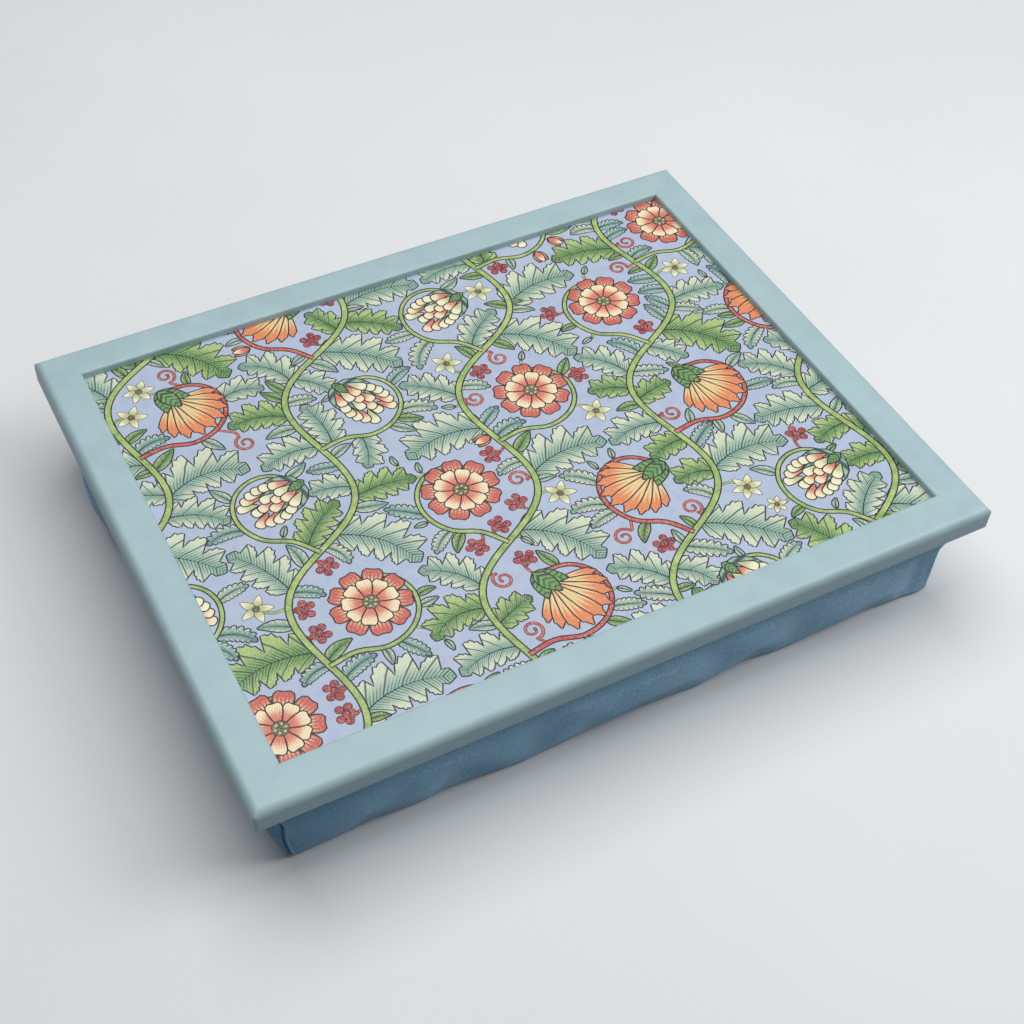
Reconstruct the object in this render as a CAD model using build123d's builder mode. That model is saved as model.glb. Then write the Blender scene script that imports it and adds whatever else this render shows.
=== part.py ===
"""Lap tray: a framed, laminate-faced tray on a boxed cushion filled with beads.

+X runs along the long side to the right, +Y to the back and +Z up. The origin is at the
centre of the cushion's foot, on the surface that the tray stands on.
"""

import math
import os
from build123d import *

# Frame of the tray
tray_length = 440.0
tray_width = 345.0
rail_width = 23.0
rail_height = 15.0
rebate_width = 6.5
lip_height = 4.5
top_round = 5.0
foot_round = 1.5
window_round = 1.5
corner_round = 2.5

# Panel in the frame's rebate
panel_clearance = 0.5
laminate_thickness = 0.8
board_thickness = 6.0

# Cushion board and the cover's walls
cushion_height = 60.0
cushion_board_thickness = 3.0
cover_inset = 9.0
cover_thickness = 1.0
flange_width = 22.0
shoulder_height = 4.0
lower_wall_height_share = 0.55
foot_roll = 6.0
foot_cut = 0.5
end_draw = 8.6
side_draw = 3.6
end_swell = 3.0
side_swell = 2.4
rear_draw = 2.5

# Shares of the draw, the swell and the rear draw that the wall has on its way up
foot_swell_shares = {85: 0.5, 55: 0.6, 30: 0.65, 0: 0.7}
lower_wall_shares = (0.87, 0.86, 0.45)
band_foot_shares = (0.6, 0.95, 0)
band_top_shares = (0.08, 1, 0)
straight_shares = (0, 0, 0)

# Bag of beads inside the cover
bag_slack = 0.3
bag_thickness = 0.6

# Zip in the rear wall
zip_drop = 20.0
zip_face_inset = 8.0
zip_opening_length = 300.0
zip_opening_height = 11.0
tape_overlap = 10.0
tape_width = 11.4
tape_thickness = 0.6
tape_margin = 0.3
chain_gap = 1.2
row_width = 2.4
row_thickness = 2.2
row_end_margin = 3.0
running_clearance = 0.3

# Zip slider and its pull tab
slider_length = 11.0
slider_plate = 1.0
slider_wall = 1.1
slider_post_length = 3.0
slider_post_clearance = 0.2
slider_end_clearance = 1.5
slider_corner_round = 1.6
bridge_length = 7.0
bridge_width = 1.6
bridge_space = 1.8
bridge_thickness = 0.9
pull_bar_radius = 0.55
pull_length = 24.0
pull_width = 5.6
pull_loop_length = 5.2
pull_loop_width = 2.8
pull_recess_margin = 1.0
pull_recess_depth = 0.25
stop_length = 2.2
stop_rise = 0.3

# Fasteners
v_nail_leg = 6.0
v_nail_height = 8.0
v_nail_thickness = 0.5
v_nail_insets = (5.0, 10.0)
point_length = 15.0
point_width = 5.0
point_thickness = 0.5
point_bite = 6.0
point_pitch = 100.0
screw_length = 14.0
screw_radius = 1.5
screw_head_radius = 3.0
screw_head_height = 1.8
screw_inset = 12.5
screw_place_share = 0.38
staple_crown = 10.0
staple_wire = 0.6
staple_bite = 3.0
staple_inset = 24.0
staple_pitch = 42.0

# One overrun serves every cut
overrun = 2.0

# Heights that the sizes above give
frame_top = cushion_height + rail_height
print_face = frame_top - lip_height
board_top = print_face - laminate_thickness
board_foot = board_top - board_thickness
panel_foot = board_foot - laminate_thickness
flange_foot = cushion_height - cover_thickness
cushion_board_foot = flange_foot - cushion_board_thickness
shoulder_foot = cushion_height - shoulder_height
zip_height = cushion_height - zip_drop
band_half = tape_width + chain_gap / 2 + tape_margin
band_foot = zip_height - band_half
band_top = zip_height + band_half

# Places along Y at the zip, from its outer face inwards
zip_face = tray_width / 2 - zip_face_inset
tape_outer = zip_face - cover_thickness
tape_inner = tape_outer - tape_thickness
teeth_face = tape_outer + row_thickness
slider_inner = tape_inner - running_clearance - slider_plate
plate_inner = teeth_face + running_clearance
plate_outer = plate_inner + slider_plate
pull_axis = plate_outer + bridge_space / 2

# Places along X at the zip
row_half = zip_opening_length / 2 - row_end_margin
slider_rest = row_half - slider_end_clearance - slider_length / 2
chain_half = chain_gap / 2 + row_width
slider_half = chain_half + running_clearance + slider_wall
rear_flat_half = zip_opening_length / 2 + tape_overlap + tape_margin

os.makedirs("parts", exist_ok=True)


def write_piece(piece, name):
    """Label a finished piece and write it as one file."""
    piece.label = name
    export_step(piece, f"parts/{name}.step")


def sides():
    """The four sides of the tray: its turn, half its run and its reach from the centre."""
    for turn in range(0, 360, 90):
        along_length = turn % 180 == 0
        run = tray_length if along_length else tray_width
        reach = tray_width if along_length else tray_length
        yield turn, run / 2, reach / 2


# V-nails: an L of steel strip across each mitre, driven up from below
with BuildPart() as v_nails:
    for inset in v_nail_insets:
        for turn, half_run, half_reach in sides():
            leg_middle = (v_nail_thickness - v_nail_leg) / 2
            with BuildSketch(Plane.XY.rotated((0, 0, turn)).offset(cushion_height)):
                with Locations((half_run - inset + leg_middle, inset - half_reach)):
                    Rectangle(v_nail_leg, v_nail_thickness)
                with Locations((half_run - inset, inset - half_reach - leg_middle)):
                    Rectangle(v_nail_thickness, v_nail_leg)
            extrude(amount=v_nail_height)
write_piece(v_nails.part, "corner_v_nails")


# Framer's points: flat strips driven into the rebate wall behind the panel
with BuildPart() as panel_points:
    for turn, half_run, half_reach in sides():
        count = int(half_run * 2 / point_pitch / 2) * 2
        point_middle = rail_width - rebate_width - point_bite + point_length / 2
        side_plane = Plane.XY.rotated((0, 0, turn)).offset(panel_foot - point_thickness)
        with BuildSketch(side_plane):
            with Locations((0, point_middle - half_reach)):
                with GridLocations(point_pitch, 0, count, 1):
                    Rectangle(point_width, point_length)
        extrude(amount=point_thickness)
write_piece(panel_points.part, "panel_points")


# Countersunk screws from inside the cushion up into the rails
screw_across = tray_width / 2 - screw_inset
screw_along = tray_length / 2 - screw_inset
screw_places = [
    (column * screw_place_share * tray_length, row * screw_across)
    for column in (-1, 0, 1)
    for row in (-1, 1)
]
screw_places += [(-screw_along, 0), (screw_along, 0)]
with BuildPart() as board_screws:
    upright = (Align.CENTER, Align.CENTER, Align.MIN)
    with Locations([(x, y, cushion_board_foot) for x, y in screw_places]):
        Cone(screw_head_radius, screw_radius, screw_head_height, align=upright)
        Cylinder(screw_radius, screw_length - screw_radius, align=upright)
    tip_foot = cushion_board_foot + screw_length - screw_radius
    with Locations([(x, y, tip_foot) for x, y in screw_places]):
        Cone(screw_radius, screw_radius / 4, screw_radius, align=upright)
write_piece(board_screws.part, "board_screws")


# Staples over the cover's turned-in edge, down into the cushion board
with BuildPart() as cover_staples:
    for turn, half_run, half_reach in sides():
        count = int((half_run - staple_inset) * 2 / staple_pitch)
        side = Plane.XY.rotated((0, 0, turn)).offset(cushion_height)
        side_face = Plane(origin=side.origin, x_dir=side.x_dir, z_dir=-side.y_dir)
        with BuildSketch(side_face.offset(half_reach - staple_inset)):
            with GridLocations(staple_pitch, 0, count, 1):
                with Locations((0, staple_wire / 2)):
                    Rectangle(staple_crown, staple_wire)
                leg_span = staple_crown - staple_wire
                leg_height = staple_bite + staple_wire
                with Locations((0, staple_wire - leg_height / 2)):
                    with GridLocations(leg_span, 0, 2, 1):
                        Rectangle(staple_wire, leg_height)
        extrude(amount=staple_wire / 2, both=True)
write_piece(cover_staples.part, "cover_staples")


def mitred_rail(turn, half_run, half_reach):
    """One rail of the frame, mitred at both ends, with its seats for the fasteners."""
    side = Plane.XY.rotated((0, 0, turn)).offset(cushion_height)
    section = Plane(
        origin=side.from_local_coords((0, -half_reach, 0)), x_dir=side.y_dir, z_dir=side.x_dir
    )
    rebate_wall = rail_width - rebate_width
    rebate_top = rail_height - lip_height
    with BuildPart() as rail:
        with BuildSketch(section):
            with BuildLine():
                FilletPolyline(
                    (0, 0),
                    (rebate_wall, 0),
                    (rebate_wall, rebate_top),
                    (rail_width, rebate_top),
                    (rail_width, rail_height),
                    (0, rail_height),
                    radius=(foot_round, 0, 0, 0, window_round, top_round),
                    close=True,
                )
            make_face()
        extrude(amount=half_run, both=True)
        for end in (1, -1):
            mitre = Plane(
                origin=side.from_local_coords((end * half_run, -half_reach, 0)),
                z_dir=side.x_dir * end + side.y_dir,
            )
            split(bisect_by=mitre, keep=Keep.BOTTOM)
        with BuildSketch(Plane.XY.offset(cushion_height)):
            RectangleRounded(tray_length, tray_width, corner_round)
        extrude(amount=rail_height, mode=Mode.INTERSECT)
        for fastener in (v_nails, panel_points, board_screws):
            add(fastener.part, mode=Mode.SUBTRACT)
    return rail.part


for (turn, half_run, half_reach), place in zip(sides(), ("front", "right", "back", "left")):
    write_piece(mitred_rail(turn, half_run, half_reach), f"frame_rail_{place}")


# Panel: board with a printed laminate on top and a plain one on its back
panel_margin = 2 * (rail_width - rebate_width + panel_clearance)
panel_size = (tray_length - panel_margin, tray_width - panel_margin)

with BuildPart() as print_laminate:
    with BuildSketch(Plane.XY.offset(board_top)):
        Rectangle(*panel_size)
    extrude(amount=laminate_thickness)
write_piece(print_laminate.part, "print_laminate")

with BuildPart() as tray_board:
    with BuildSketch(Plane.XY.offset(board_foot)):
        Rectangle(*panel_size)
    extrude(amount=board_thickness)
write_piece(tray_board.part, "tray_board")

with BuildPart() as backing_laminate:
    with BuildSketch(Plane.XY.offset(panel_foot)):
        Rectangle(*panel_size)
    extrude(amount=laminate_thickness)
write_piece(backing_laminate.part, "backing_laminate")


# Cushion board: hardboard that closes the cushion's top
board_margin = 2 * (cover_inset + cover_thickness)
with BuildPart() as cushion_board:
    with BuildSketch(Plane.XY.offset(cushion_board_foot)):
        Rectangle(tray_length - board_margin, tray_width - board_margin)
    extrude(amount=cushion_board_thickness)
    add(cover_staples.part, mode=Mode.SUBTRACT)
    add(board_screws.part, mode=Mode.SUBTRACT)
write_piece(cushion_board.part, "cushion_board")


def wall_edge(start, finish, swell):
    """One side of the cushion seen from above, standing out by the swell at its middle."""
    middle = (Vector(*start) + Vector(*finish)) / 2
    along = Vector(*finish) - Vector(*start)
    outward = Vector(along.Y, -along.X, 0).normalized()
    if swell:
        ThreePointArc(start, middle + outward * swell, finish)
    else:
        Line(start, finish)


def cushion_outline(height, shares, roll, wall, rear_gap):
    """The cushion's outline at one height, lying inside its outer face by a wall."""
    draw_share, swell_share, rear_share = shares
    half_length = tray_length / 2 - cover_inset - draw_share * end_draw - roll - wall
    front = cover_inset + draw_share * side_draw + roll + wall - tray_width / 2
    rear = -front - rear_gap
    flat = rear
    if swell_share:
        flat = zip_face - rear_share * rear_draw - roll - wall - rear_gap
    with BuildSketch(Plane.XY.offset(height)) as outline:
        with BuildLine():
            wall_edge((-half_length, front), (half_length, front), swell_share * side_swell)
            wall_edge((half_length, front), (half_length, rear), swell_share * end_swell)
            wall_edge((-half_length, rear), (-half_length, front), swell_share * end_swell)
            Line((-rear_flat_half, flat), (rear_flat_half, flat))
            for end in (1, -1):
                if swell_share:
                    TangentArc(
                        (end * rear_flat_half, flat), (end * half_length, rear), tangent=(end, 0)
                    )
                else:
                    Line((end * rear_flat_half, flat), (end * half_length, rear))
        make_face()
    return outline.sketch


def cushion_form(wall, rear_gap, foot, top):
    """The crowned, drawn-in form of the cushion inside its outer face by a wall."""
    roll_radius = foot_roll - wall
    rolled_edge = []
    for turn, swell_share in foot_swell_shares.items():
        rise = roll_radius * (1 - math.sin(math.radians(turn)))
        roll = roll_radius * (1 - math.cos(math.radians(turn)))
        rolled_edge.append((wall - foot_cut + rise, (1, swell_share, 1), roll))
    wall_foot = rolled_edge[-1]
    wall_middle = (lower_wall_height_share * band_foot, lower_wall_shares, 0)
    below_zip = (band_foot, band_foot_shares, 0)
    above_zip = (band_top, band_top_shares, 0)
    shoulder = (shoulder_foot, straight_shares, 0)
    clamped_edge = (cushion_height, straight_shares, 0)
    stretches = [rolled_edge, [wall_foot, wall_middle, below_zip]]
    stretches += [[below_zip, above_zip], [above_zip, shoulder], [shoulder, clamped_edge]]
    with BuildPart() as form:
        for stretch in stretches:
            for height, shares, roll in stretch:
                add(cushion_outline(height, shares, roll, wall, rear_gap))
            loft()
        split(bisect_by=Plane.XY.offset(foot), keep=Keep.TOP)
        split(bisect_by=Plane.XY.offset(top), keep=Keep.BOTTOM)
    return form.part


# Cover: one closed wall with a turned-in edge at its top, open for the zip at the back
with BuildPart() as cover:
    add(cushion_form(0, 0, 0, cushion_height))
    add(cushion_form(cover_thickness, 0, cover_thickness, flange_foot), mode=Mode.SUBTRACT)
    with BuildSketch(Plane.XY.offset(flange_foot)):
        Rectangle(
            tray_length - 2 * (cover_inset + flange_width),
            tray_width - 2 * (cover_inset + flange_width),
        )
    extrude(amount=cover_thickness, mode=Mode.SUBTRACT)
    with BuildSketch(Plane.XZ.offset(-zip_face - overrun)):
        with Locations((0, zip_height)):
            Rectangle(zip_opening_length, zip_opening_height)
    extrude(amount=cover_thickness + 2 * overrun, mode=Mode.SUBTRACT)
    add(cover_staples.part, mode=Mode.SUBTRACT)
    add(board_screws.part, mode=Mode.SUBTRACT)

# The seam at the zip's height and the two rear corner seams part the strip from the rest
strip_reach = cover_inset + flange_width + overrun
with BuildPart() as strip_region:
    with BuildSketch(Plane.XY.offset(zip_height)):
        with BuildLine():
            Polyline(
                (-tray_length / 2, tray_width / 2),
                (tray_length / 2, tray_width / 2),
                (tray_length / 2 - strip_reach, tray_width / 2 - strip_reach),
                (strip_reach - tray_length / 2, tray_width / 2 - strip_reach),
                close=True,
            )
        make_face()
    extrude(amount=cushion_height - zip_height)

with BuildPart() as cushion_cover:
    add(cover.part)
    add(strip_region.part, mode=Mode.SUBTRACT)
write_piece(cushion_cover.part, "cushion_cover")

with BuildPart() as rear_cover_strip:
    add(cover.part)
    add(strip_region.part, mode=Mode.INTERSECT)
write_piece(rear_cover_strip.part, "rear_cover_strip")


# Bead bag: a closed thin bag just inside the cover, clear of the slider at the back
bag_wall = cover_thickness + bag_slack
bag_rear_gap = tape_thickness + slider_plate + 2 * running_clearance - bag_slack
bead_wall = bag_wall + bag_thickness + bag_slack
with BuildPart() as bead_bag:
    add(cushion_form(bag_wall, bag_rear_gap, cover_thickness, cushion_board_foot))
    add(
        cushion_form(
            bag_wall + bag_thickness,
            bag_rear_gap,
            cover_thickness + bag_thickness,
            cushion_board_foot - bag_thickness,
        ),
        mode=Mode.SUBTRACT,
    )
write_piece(bead_bag.part, "bead_bag")

with BuildPart() as bead_fill:
    add(
        cushion_form(
            bead_wall,
            bag_rear_gap,
            cover_thickness + bag_thickness,
            cushion_board_foot - bag_thickness,
        )
    )
write_piece(bead_fill.part, "bead_fill")


# Zip tapes, sewn behind the cover's wall, and the row of teeth on each
tape_length = zip_opening_length + 2 * tape_overlap
for place, way in (("upper", 1), ("lower", -1)):
    with BuildPart() as zip_tape:
        with BuildSketch(Plane.XZ.offset(-tape_outer)):
            with Locations((0, zip_height + way * (chain_gap + tape_width) / 2)):
                Rectangle(tape_length, tape_width)
        extrude(amount=tape_thickness)
    write_piece(zip_tape.part, f"zip_tape_{place}")

    with BuildPart() as zip_teeth:
        with BuildSketch(Plane.YZ.offset(-row_half)):
            row_height = zip_height + way * (chain_gap + row_width) / 2
            with Locations((tape_outer + row_thickness / 2, row_height)):
                RectangleRounded(row_thickness, row_width, row_thickness / 4)
        extrude(amount=2 * row_half)
    write_piece(zip_teeth.part, f"zip_teeth_{place}")

# Stops at the teeth's ends: one on each row where the zip closes, one across both where it opens
stop_depth = row_thickness + stop_rise
with BuildPart() as zip_stops:
    with BuildSketch(Plane.XZ.offset(-tape_outer - stop_depth)):
        with Locations((row_half + stop_length / 2, zip_height)):
            with GridLocations(0, chain_gap + row_width, 1, 2):
                Rectangle(stop_length, row_width)
        with Locations((-row_half - stop_length / 2, zip_height)):
            Rectangle(stop_length, 2 * chain_half)
    extrude(amount=stop_depth)
write_piece(zip_stops.part, "zip_stops")


# Slider: two plates joined by a post, with flanges round the teeth and a bridge for the pull
with BuildPart() as zip_slider:
    for plate_face in (plate_outer, slider_inner + slider_plate):
        with BuildSketch(Plane.XZ.offset(-plate_face)):
            with Locations((slider_rest, zip_height)):
                RectangleRounded(slider_length, 2 * slider_half, slider_corner_round)
        extrude(amount=slider_plate)
    with BuildSketch(Plane.XZ.offset(-plate_outer)):
        with Locations((slider_rest, zip_height)):
            with GridLocations(0, 2 * slider_half - slider_wall, 1, 2):
                Rectangle(slider_length - 2 * slider_corner_round, slider_wall)
    extrude(amount=plate_outer - tape_outer - running_clearance)
    with BuildSketch(Plane.XZ.offset(-plate_outer)):
        with Locations((slider_rest + (slider_length - slider_post_length) / 2, zip_height)):
            Rectangle(slider_post_length, chain_gap - 2 * slider_post_clearance)
    extrude(amount=plate_outer - slider_inner)
    bridge_rise = bridge_space + bridge_thickness
    with BuildSketch(Plane.XY.offset(zip_height)) as bridge:
        with Locations((slider_rest, plate_outer + bridge_rise / 2)):
            Rectangle(bridge_length, bridge_rise)
        fillet(bridge.vertices().group_by(Axis.Y)[-1], bridge_thickness)
        with Locations((slider_rest, plate_outer + bridge_space / 2)):
            Rectangle(bridge_length - 2 * bridge_thickness, bridge_space, mode=Mode.SUBTRACT)
    extrude(amount=bridge_width / 2, both=True)
write_piece(zip_slider.part, "zip_slider")


# Pull: a bar under the bridge, a loop round it and a flat tab
with BuildPart() as zip_pull:
    pull_face = Plane.XZ.offset(-pull_axis - pull_bar_radius)
    with BuildSketch(pull_face):
        with Locations((slider_rest - pull_length / 2, zip_height)):
            Rectangle(pull_length, pull_width)
        with Locations((slider_rest - pull_loop_length / 2, zip_height)):
            Rectangle(pull_loop_length, pull_loop_width, mode=Mode.SUBTRACT)
    extrude(amount=2 * pull_bar_radius)
    tab_corners = zip_pull.edges().filter_by(Axis.Y).group_by(Axis.X)[0]
    fillet(tab_corners, pull_width / 3)
    with Locations((slider_rest, pull_axis, zip_height)):
        Cylinder(pull_bar_radius, pull_width)
    tab_length = pull_length - pull_loop_length
    with BuildSketch(pull_face):
        with Locations((slider_rest - pull_loop_length - tab_length / 2, zip_height)):
            RectangleRounded(
                tab_length - 2 * pull_recess_margin,
                pull_width - 2 * pull_recess_margin,
                pull_recess_margin,
            )
    extrude(amount=pull_recess_depth, mode=Mode.SUBTRACT)
write_piece(zip_pull.part, "zip_pull")
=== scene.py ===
import itertools
import math

import bpy
import bmesh
import numpy as np
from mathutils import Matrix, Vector, geometry, kdtree


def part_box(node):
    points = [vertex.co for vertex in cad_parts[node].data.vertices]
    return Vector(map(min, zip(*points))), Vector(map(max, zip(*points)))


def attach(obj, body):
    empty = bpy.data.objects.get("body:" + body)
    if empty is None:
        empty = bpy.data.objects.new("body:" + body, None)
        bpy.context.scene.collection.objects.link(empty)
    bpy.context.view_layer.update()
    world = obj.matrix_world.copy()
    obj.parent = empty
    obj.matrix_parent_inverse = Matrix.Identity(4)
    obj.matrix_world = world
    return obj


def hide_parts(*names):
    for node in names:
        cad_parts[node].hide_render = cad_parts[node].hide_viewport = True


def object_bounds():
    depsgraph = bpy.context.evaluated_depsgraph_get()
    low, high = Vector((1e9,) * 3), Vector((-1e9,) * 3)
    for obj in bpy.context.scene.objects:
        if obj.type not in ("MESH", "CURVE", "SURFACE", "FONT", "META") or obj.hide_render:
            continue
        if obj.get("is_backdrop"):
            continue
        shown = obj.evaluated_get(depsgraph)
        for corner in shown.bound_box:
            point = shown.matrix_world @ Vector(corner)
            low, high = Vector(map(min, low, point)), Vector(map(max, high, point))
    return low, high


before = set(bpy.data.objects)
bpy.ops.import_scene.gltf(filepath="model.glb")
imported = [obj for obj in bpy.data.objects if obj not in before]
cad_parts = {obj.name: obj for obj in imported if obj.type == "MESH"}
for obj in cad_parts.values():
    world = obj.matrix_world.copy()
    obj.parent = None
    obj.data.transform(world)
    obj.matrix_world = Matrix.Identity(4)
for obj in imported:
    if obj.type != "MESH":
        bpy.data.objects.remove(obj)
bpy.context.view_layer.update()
mm = 0.001


# Frame rails
# Four lengths of planed softwood moulding, mitred and V-nailed at the corners, then filled, sanded
# and sprayed in satin paint. The paint softens each edge and leaves a hairline at the mitres.

rail_width = 23.0 * mm
lip_height = 4.5 * mm
rebate_width = 6.5 * mm
top_round = 5.0 * mm
window_round = 1.5 * mm
foot_round = 1.5 * mm
corner_round = 2.5 * mm
top_crown = 0.15 * mm
rail_step = 14 * mm
hairline_length = 8 * mm
hairline_least, hairline_most, hairline_fade = 0.12 * mm, 0.34 * mm, 0.12 * mm
grain_depth = 0.06 * mm


def srgb(red, green, blue):
    """A colour as the screen shows it, 0 to 255, as the shader's linear colour."""
    shares = [channel / 255 for channel in (red, green, blue)]
    return tuple(s / 12.92 if s <= 0.04045 else ((s + 0.055) / 1.055) ** 2.4 for s in shares) + (1.0,)


def arc_points(centre, radius, start, finish, count):
    """Points along an arc in the plane, turned from start to finish in degrees."""
    turns = np.radians(np.linspace(start, finish, count))
    return [(centre[0] + radius * math.cos(t), centre[1] + radius * math.sin(t)) for t in turns]


def add_node(tree, kind, inputs=None, **settings):
    """One shader node with its settings and inputs, where an input is a value or a socket."""
    made = tree.nodes.new(kind)
    for name, value in settings.items():
        setattr(made, name, value)
    for socket, value in (inputs or {}).items():
        if isinstance(value, bpy.types.NodeSocket):
            tree.links.new(value, made.inputs[socket])
        else:
            made.inputs[socket].default_value = value
    return made


def start_finish(name, roughness, **sockets):
    """A new finish with its tree, its shader and each point's place on the object, in metres."""
    finish = bpy.data.materials.new(name)
    finish.use_nodes = True
    tree = finish.node_tree
    shader = tree.nodes["Principled BSDF"]
    shader.inputs["Roughness"].default_value = roughness
    for socket, value in sockets.items():
        shader.inputs[socket.replace("_", " ")].default_value = value
    place = add_node(tree, "ShaderNodeTexCoord").outputs["Object"]
    return finish, tree, shader, place


def grain(tree, place, scale, detail=3.0, roughness=0.5):
    """Noise on a place, with features of about one over its scale in metres."""
    inputs = {"Vector": place, "Scale": scale, "Detail": detail, "Roughness": roughness}
    return add_node(tree, "ShaderNodeTexNoise", inputs).outputs["Fac"]


def stretched(tree, place, shares):
    """A place stretched by a share along each axis."""
    inputs = {"Vector": place, "Scale": shares}
    return add_node(tree, "ShaderNodeMapping", inputs).outputs["Vector"]


def ramp(tree, factor, low, high, start=0.0, finish=1.0):
    """A value that runs from start to finish while the factor runs from low to high."""
    inputs = {"Value": factor, "From Min": low, "From Max": high, "To Min": start, "To Max": finish}
    return add_node(tree, "ShaderNodeMapRange", inputs, clamp=True).outputs["Result"]


def blend(tree, factor, under, over, way="MIX"):
    """Two colours mixed by a factor."""
    mixer = add_node(tree, "ShaderNodeMix", {"Factor": factor}, data_type="RGBA", blend_type=way)
    for socket, colour in ((mixer.inputs[6], under), (mixer.inputs[7], over)):
        if isinstance(colour, bpy.types.NodeSocket):
            tree.links.new(colour, socket)
        else:
            socket.default_value = colour
    return mixer.outputs[2]


def sums(tree, operation, *values):
    """One sum on two or three values."""
    inputs = dict(enumerate(values))
    return add_node(tree, "ShaderNodeMath", inputs, operation=operation).outputs[0]


def place_on_chart(tree, chart):
    """The point's place on one of the mesh's own charts."""
    return add_node(tree, "ShaderNodeUVMap", uv_map=chart).outputs["UV"]


def end_finish(tree, shader, colour, height, depth, strength):
    """Sends out the colour, and bump from a height of 0 to 1 that stands for a depth in metres."""
    inputs = {"Height": height, "Distance": depth, "Strength": strength}
    bump = add_node(tree, "ShaderNodeBump", inputs)
    tree.links.new(bump.outputs["Normal"], shader.inputs["Normal"])
    tree.links.new(colour, shader.inputs["Base Color"])


def ring_faces(ring_count, columns):
    """Quads between closed rings of points that lie one after another, and a cap at each end."""
    faces = []
    for ring in range(ring_count - 1):
        for column in range(columns):
            after = (column + 1) % columns
            here, over = ring * columns, (ring + 1) * columns
            faces.append((here + column, here + after, over + after, over + column))
    faces.append(tuple(reversed(range(columns))))
    faces.append(tuple(range((ring_count - 1) * columns, ring_count * columns)))
    return faces


def link_object(name, data):
    """A new object in the scene, with its mesh, light or camera."""
    made = bpy.data.objects.new(name, data)
    bpy.context.scene.collection.objects.link(made)
    return made


def add_piece(name, points, faces, finishes, smooth_below=35):
    """A mesh piece of the object, smooth across edges that turn less than an angle."""
    mesh = bpy.data.meshes.new(name)
    mesh.from_pydata([tuple(p) for p in points], [], faces)
    for finish in finishes:
        mesh.materials.append(finish)
    mesh.shade_smooth()
    mesh.set_sharp_from_angle(angle=math.radians(smooth_below))
    return link_object(name, mesh)


def satin_paint():
    """Duck-egg satin paint with faint spray mottle, faint grain and a hairline at each mitre."""
    paint, tree, shader, place = start_finish("painted_wood", 0.43, Specular_IOR_Level=0.5)
    along = place_on_chart(tree, "rail_chart")
    mottle = grain(tree, place, 60, 4)
    fibre = grain(tree, stretched(tree, along, (9, 420, 1)), 1, 4, 0.6)
    colour = blend(tree, ramp(tree, mottle, 0.3, 0.7), srgb(163, 188, 193), srgb(172, 196, 201))
    colour = blend(tree, ramp(tree, fibre, 0.25, 0.75, 0.0, 0.16), colour, srgb(150, 182, 187))
    across = add_node(tree, "ShaderNodeSeparateXYZ", {"Vector": place})
    reach_x = sums(tree, "ABSOLUTE", across.outputs["X"])
    reach_y = sums(tree, "ABSOLUTE", across.outputs["Y"])
    beside = sums(tree, "SUBTRACT", sums(tree, "SUBTRACT", reach_x, reach_y), (tray_length - tray_width) / 2)
    wobble = ramp(tree, grain(tree, place, 300, 2), 0, 1, hairline_least, hairline_most)
    off_line = sums(tree, "SUBTRACT", sums(tree, "ABSOLUTE", beside), wobble)
    hairline = ramp(tree, off_line, 0.0, hairline_fade, 0.3, 0.0)
    inner_corner = tray_length / 2 - rail_width
    near_window = ramp(tree, reach_x, inner_corner, inner_corner + hairline_length, 1.0, 0.0)
    hairline = sums(tree, "MULTIPLY", hairline, near_window)
    colour = blend(tree, hairline, colour, srgb(104, 130, 134))
    tree.links.new(ramp(tree, mottle, 0.2, 0.8, 0.39, 0.49), shader.inputs["Roughness"])
    height = sums(tree, "ADD", fibre, sums(tree, "MULTIPLY", hairline, -2.0))
    end_finish(tree, shader, colour, height, grain_depth, 0.6)
    return paint


def rail_profile(height):
    """The moulding's section as points across and up, from its outer foot round to its rebate."""
    rebate_wall = rail_width - rebate_width
    flat_start, flat_end = top_round, rail_width - window_round
    section = arc_points((foot_round, foot_round), foot_round, 270, 180, 6)
    section += arc_points((top_round, height - top_round), top_round, 180, 90, 16)
    for share in (0.2, 0.4, 0.6, 0.8):
        crown = top_crown * math.sin(math.pi * share)
        section.append((flat_start + share * (flat_end - flat_start), height + crown))
    section += arc_points((flat_end, height - window_round), window_round, 90, 0, 8)
    section += [(rail_width, height - lip_height), (rebate_wall, height - lip_height), (rebate_wall, 0)]
    return section


def add_rail(name, turn, half_run, half_reach, foot, height, paint):
    """One painted rail, swept along its run, mitred and rounded at both outer corners."""
    section = rail_profile(height)
    chart_across = [0.0]
    for here, there in zip(section, section[1:]):
        chart_across.append(chart_across[-1] + math.dist(here, there))
    mitre_inset = corner_round * (1 - math.sqrt(0.5))
    steps = int(2 * half_run / rail_step)
    columns = list(np.linspace(corner_round - half_run, half_run - corner_round, steps))
    rounded = [half_run - corner_round * (1 - math.sin(t)) for t in np.radians(np.linspace(9, 45, 5))]
    columns = [-x for x in reversed(rounded)] + columns + rounded
    points, chart = [], []
    for x in columns:
        for (across, up), around in zip(section, chart_across):
            last = half_run - max(across, mitre_inset)
            reach = last / (half_run - mitre_inset)
            along = x * reach
            past = max(0.0, abs(along) - (half_run - corner_round))
            inset = corner_round - math.sqrt(max(0.0, corner_round**2 - past**2))
            points.append((along, max(across, inset) - half_reach, foot + up))
            chart.append((along, around))
    cosine, sine = round(math.cos(turn)), round(math.sin(turn))
    points = [(x * cosine - y * sine, x * sine + y * cosine, z) for x, y, z in points]
    rail = add_piece(name, points, ring_faces(len(columns), len(section)), [paint], 40)
    layer = rail.data.uv_layers.new(name="rail_chart")
    for loop in rail.data.loops:
        layer.data[loop.index].uv = chart[loop.vertex_index]
    return rail


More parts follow.
